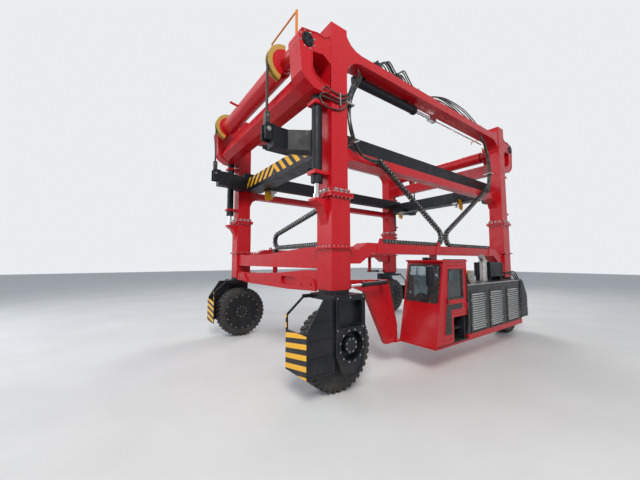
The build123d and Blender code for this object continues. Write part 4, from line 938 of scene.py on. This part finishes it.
class CARRIER_OT_hoses(bpy.types.Operator):
    """Bundles of hydraulic hoses over the columns and beams, with clips and valve blocks"""

    bl_idname = "carrier.hoses"
    bl_label = "Hoses"

    def execute(self, context):
        radius = context.scene.carrier_sizes.hose
        front = ((2.80, 5.90), (2.86, 5.74), (3.07, 5.38), (3.15, 5.10), (3.11, 4.73), (3.01, 4.42), (2.83, 4.22),
                 (2.56, 4.16), (2.24, 4.21))
        rear = ((-2.16, 5.90), (-2.28, 5.73), (-2.56, 5.27), (-2.58, 4.81), (-2.48, 4.45), (-2.35, 4.30), (-2.24, 4.21))
        routes = []
        for line, count, spread in ((front, 5, 0.026), (rear, 8, 0.027)):
            for k in range(count):
                d = (k - (count - 1) / 2) * spread
                row = []
                for j, (px, pz) in enumerate(line):
                    near = (j + 0.6) / len(line)
                    sag = 0.018 * math.sin(2.1 * k + 1.7 * j)
                    held = j in (0, len(line) - 1)
                    y = 2.345 + 0.010 * (k - count / 2) if held else 2.392 + 0.018 * math.cos(1.9 * k + j)
                    row.append((px + d * (1.0 - 0.5 * near) + sag, y, pz + 0.5 * d + sag * 0.6))
                routes.append(row)
        # across the outer face of the front column to its head
        for k, fall in enumerate((0.0, 0.10, 0.17, 0.32)):
            routes.append([(3.80, 2.36, 5.06), (3.75, 2.440, 5.20 - fall), (3.56, 2.455, 5.18 - fall),
                           (3.38, 2.455, 5.17 - fall * 0.8), (3.22, 2.445, 5.26 - fall * 0.6),
                           (3.12 - 0.02 * k, 2.42, 5.44 - fall * 0.2), (2.98 - 0.03 * k, 2.35, 5.70)])
        # along the top side beam, over the valve blocks
        top = TOP_BEAM_Z
        for k in range(5):
            y = 2.155 + 0.045 * k
            lift = 0.03 * math.sin(1.3 * k)
            routes.append([(2.25, y, top + 0.05), (2.10, y, 6.42 + lift), (1.92, y + 0.01, 6.53 + lift),
                           (1.74, y, 6.42 + lift), (1.62, y, top + 0.09)])
            routes.append([(1.66, y + 0.01, top + 0.09), (1.54, y, 6.40 - lift), (1.38, y, 6.49 - lift),
                           (1.20, y - 0.01, 6.38), (1.05, y, top + 0.06), (0.80, y, top + 0.045)])
            routes.append([(0.80, y, top + 0.045), (0.45, y, top + 0.05), (0.20, y, 6.36 + lift),
                           (-0.25, y + 0.01, 6.47 + lift), (-0.80, y, 6.49), (-1.35, y - 0.01, 6.44 - lift),
                           (-1.80, y, 6.33), (-2.05, y, top + 0.06), (-2.45, y, top + 0.045)])
        hoses("gantry_hoses", routes, radius, "upper_frame")
        low = []
        for k in range(3):
            d = 0.045 * k
            low.append([(-2.06, 2.90 - d, 1.88), (-2.40, 2.98 - d * 0.6, 1.90 - d), (-2.64, 2.99 - d * 0.6, 1.68 - d),
                        (-2.74 + 0.3 * d, 2.98 - d, 1.36), (-2.74 + 0.3 * d, 2.97 - d, 0.98),
                        (-2.68 + 0.3 * d, 2.96 - d, 0.72), (-2.56, 2.94 - d, 0.58)])
        hoses("pod_hoses", low, radius * 1.15, "chassis")
        # clips, valve blocks and their spools
        clips = Form()
        for cx, cz, turn in ((3.14, 5.10, 0.0), (3.00, 4.42, 0.5)):
            clips.block((cx, 2.408, cz), (0.17, 0.10, 0.030), (0.0, turn, 0.0))
            clips.block((cx + 0.03, 2.30, cz), (0.05, 0.16, 0.030))
        clips.block((-2.58, 2.408, 4.84), (0.21, 0.11, 0.030))
        clips.block((-2.56, 2.30, 4.84), (0.06, 0.16, 0.030))
        clips.block((3.42, 2.450, 5.080), (0.022, 0.060, 0.24))
        for cx in (0.90, -2.20):
            clips.block((cx, 2.245, top + 0.035), (0.035, 0.26, 0.085))
        clips.done("hose_clips", "zinc_steel", "upper_frame")
        valves = Form()
        for cx, width in ((1.64, 0.20), (2.30, 0.16)):
            valves.block((cx, TRACK_Y, top + 0.055), (width, 0.30, 0.115), edge=0.006)
            reach = width / 2 + 0.05
            for k in range(4):
                y = 2.14 + 0.073 * k
                valves.rod((cx - reach, y, top + 0.06), (cx + reach, y, top + 0.06), 0.022, 16)
                valves.rod((cx, y, top + 0.11), (cx, y, top + 0.17), 0.017, 6)
        valves.done("valve_blocks", "head_gloss", "upper_frame")
        return {"FINISHED"}


class CARRIER_OT_cab(bpy.types.Operator):
    """Window gaskets, door panel, wiper, mirror, lamps and grab rails of the cab"""

    bl_idname = "carrier.cab"
    bl_label = "Cab trim"

    def execute(self, context):
        door = Form()
        window = [(0.53, 1.44), (1.11, 1.44), (1.06, 2.01), (0.53, 2.01)]
        door.border(inset(window, -0.026), inset(window, 0.012), DOOR_FACE - SINK, RISE)
        door.block((1.14, 3.068, 1.40), (0.030, 0.020, 0.13), edge=0.004)
        door.done("door_gasket", "gasket_rubber", "door")
        panel = [(1.20, 1.34), (0.56, 1.34), (0.56, 1.19), (1.00, 1.19), (1.00, 0.72), (1.29, 0.72)]
        plate = Form()
        plate.prism(upright(inset(panel, 0.020), DOOR_PANEL_FACE - SINK), (0, 0.006, 0))
        plate.done("door_panel", "panel_grey", "door")
        # windscreen gasket: a frame that lies on the slope of the front
        lean = math.atan2(0.155, 0.84)
        screen = Form()
        mid = (1.3215, 2.625, 1.740)
        along = Vector((-math.sin(lean), 0.0, math.cos(lean)))
        outward = Vector((math.cos(lean), 0.0, math.sin(lean)))
        height = 0.72 / math.cos(lean)

        def sloped(points, depth):
            base = Vector(mid) + outward * depth
            return [tuple(base + Vector((0, py, 0)) + along * pz) for py, pz in points]

        outer = rounded(0, 0, 0.720 + 0.052, height + 0.052, 0.060)
        inner = rounded(0, 0, 0.720 - 0.020, height - 0.020, 0.036)
        screen.prism(sloped(outer, 0.0), tuple(outward * 0.014), sloped(inner, 0.0))
        screen.rod(*sloped([(0.05, -0.36), (-0.16, 0.16)], 0.022), 0.007, 8)
        screen.rod(*sloped([(-0.16, -0.04), (-0.16, 0.36)], 0.020), 0.009, 6)
        screen.done("windscreen_gasket", "gasket_rubber", "chassis")
        trim = Form()
        # roof rail, rain gutter and lamp, mirror arm and head, grab rails beside the steps
        for start, end, radius, sides in (
                ((0.36, 3.045, 2.226), (1.24, 3.045, 2.226), 0.010, 12),
                ((1.27, 3.00, 2.04), (1.60, 3.00, 2.06), 0.010, 10),
                ((1.33, 3.00, 1.72), (1.60, 3.00, 1.76), 0.010, 10),
                ((0.372, 3.064, 0.80), (0.372, 3.064, 1.95), 0.011, 12)):
            trim.rod(start, end, radius, sides)
        trim.block((1.18, 2.66, 2.246), (0.10, 0.20, 0.055), edge=0.010)
        trim.block((1.615, 2.995, 1.91), (0.050, 0.17, 0.38), (0.0, 0.0, 0.30), edge=0.016)
        for z in (0.82, 1.36, 1.93):
            trim.rod((0.372, 3.066, z), (0.372, 3.040, z), 0.009, 10)
        trim.block((0.95, 2.640, 0.545), (1.22, 0.83, 0.018), edge=0.004)
        trim.done("cab_rails", "head_gloss", "chassis")
        lamp = Form()
        for y in (2.60, 2.72):
            lamp.rod((1.228, y, 2.246), (1.240, y, 2.246), 0.022, 20, 0.020)
        lamp.done("cab_lamps", "lamp_lens", "chassis")
        return {"FINISHED"}


class CARRIER_OT_hood(bpy.types.Operator):
    """Pale slats, panel frames, latches and bright edge of the engine hood, guards of its gear"""

    bl_idname = "carrier.hood"
    bl_label = "Engine hood"

    def execute(self, context):
        frames = Form()
        latches = []
        slats = []
        for cx, width in ((-0.165, 0.59), (-1.08, 0.58), (-2.035, 0.57)):
            for k in range(16):
                slats.append(((cx, 3.049, 0.70 + 0.05 * k), (math.radians(-38), 0.0, 0.0)))
            pair = (rounded(cx, 1.065, width + gap, height, radius)
                    for gap, height, radius in ((0.11, 0.93, 0.020), (0.03, 0.85, 0.012)))
            frames.border(*pair, HOOD_FACE - SINK, 0.016)
            for side in ENDS:
                for z in (0.80, 1.33):
                    latches.append(((cx + side * (width / 2 + 0.035), 3.044, z), facing((0, 1, 0))))
        frames.done("hood_frames", "hood_enamel", "chassis")
        slat = Form()
        slat.block((0, 0, 0), (0.575, 0.038, 0.006), edge=0.0015)
        slat.block((0, 0.0175, 0.007), (0.575, 0.005, 0.020), edge=0.001)
        scatter("hood_slats", slat, slats, "slat_grey", "chassis")
        latch = Form()
        latch.block((0, 0, 0.004), (0.028, 0.060, 0.010), edge=0.003)
        latch.rod((0, 0.012, 0.008), (0, 0.012, 0.016), 0.009, 16)
        latch.block((0, -0.012, 0.012), (0.012, 0.030, 0.008), edge=0.002)
        scatter("hood_latches", latch, latches, "zinc_steel", "chassis")
        # bands and cap of the filter, clamps of the exhaust, grille and frame of the cooler
        bands = Form()
        for y in (2.56, 2.88):
            bands.border(disc(*FILTER, 0.144, 36), disc(*FILTER, 0.1385, 36), y, 0.026)
        x, cz = FILTER
        bands.rod((x, 2.905, cz), (x, 2.922, cz), 0.095, 24)
        bands.rod((x, 2.920, cz), (x, 2.935, cz), 0.022, 6)
        for z in (1.676, 2.160):
            bands.rod((-1.45, 2.60, z), (-1.45, 2.60, z + 0.030), 0.098, 28)
        bands.done("gear_bands", "zinc_steel", "chassis")
        grille = Form()
        grille.border(rounded(*COOLER, 0.76, 0.38, 0.012), rounded(*COOLER, 0.70, 0.32, 0.010), 2.688, 0.014)
        for k in range(13):
            grille.block((COOLER[0], 2.694, 1.822 + 0.0247 * k), (0.71, 0.012, 0.006), (0.5, 0.0, 0.0), edge=0)
        for px in (-2.26, -1.78):
            grille.block((px, 2.48, 2.168), (0.05, 0.30, 0.018), edge=0.004)
        grille.done("cooler_grille", "head_gloss", "chassis")
        edge = Form()
        edge.block((-1.12, 3.034, 1.668), (2.86, 0.018, 0.026), edge=0.004)
        edge.done("hood_edge", "zinc_steel", "chassis")
        return {"FINISHED"}


class CARRIER_PT_panel(bpy.types.Panel):
    """Lists the steps in their order"""

    bl_idname = "CARRIER_PT_panel"
    bl_label = "Straddle Carrier"
    bl_space_type = "VIEW_3D"
    bl_region_type = "UI"
    bl_category = "Carrier"

    def draw(self, context):
        layout = self.layout
        for step in STEPS:
            layout.operator(step.bl_idname)
        for group in (context.scene.carrier_colours, context.scene.carrier_sizes):
            box = layout.box()
            for key in group.__annotations__:
                box.prop(group, key)


STEPS = (CARRIER_OT_studio, CARRIER_OT_finishes, CARRIER_OT_tyres, CARRIER_OT_fasteners, CARRIER_OT_steering,
         CARRIER_OT_chains, CARRIER_OT_hoses, CARRIER_OT_cab, CARRIER_OT_hood)
CLASSES = (CarrierColours, CarrierSizes, *STEPS, CARRIER_PT_panel)


def register():
    for cls in CLASSES:
        bpy.utils.register_class(cls)
    bpy.types.Scene.carrier_colours = bpy.props.PointerProperty(type=CarrierColours)
    bpy.types.Scene.carrier_sizes = bpy.props.PointerProperty(type=CarrierSizes)


def unregister():
    del bpy.types.Scene.carrier_sizes
    del bpy.types.Scene.carrier_colours
    for cls in reversed(CLASSES):
        bpy.utils.unregister_class(cls)


def main():
    register()
    for step in STEPS:
        area, name = step.bl_idname.split(".")
        getattr(getattr(bpy.ops, area), name)()


if __name__ == "__main__":
    main()
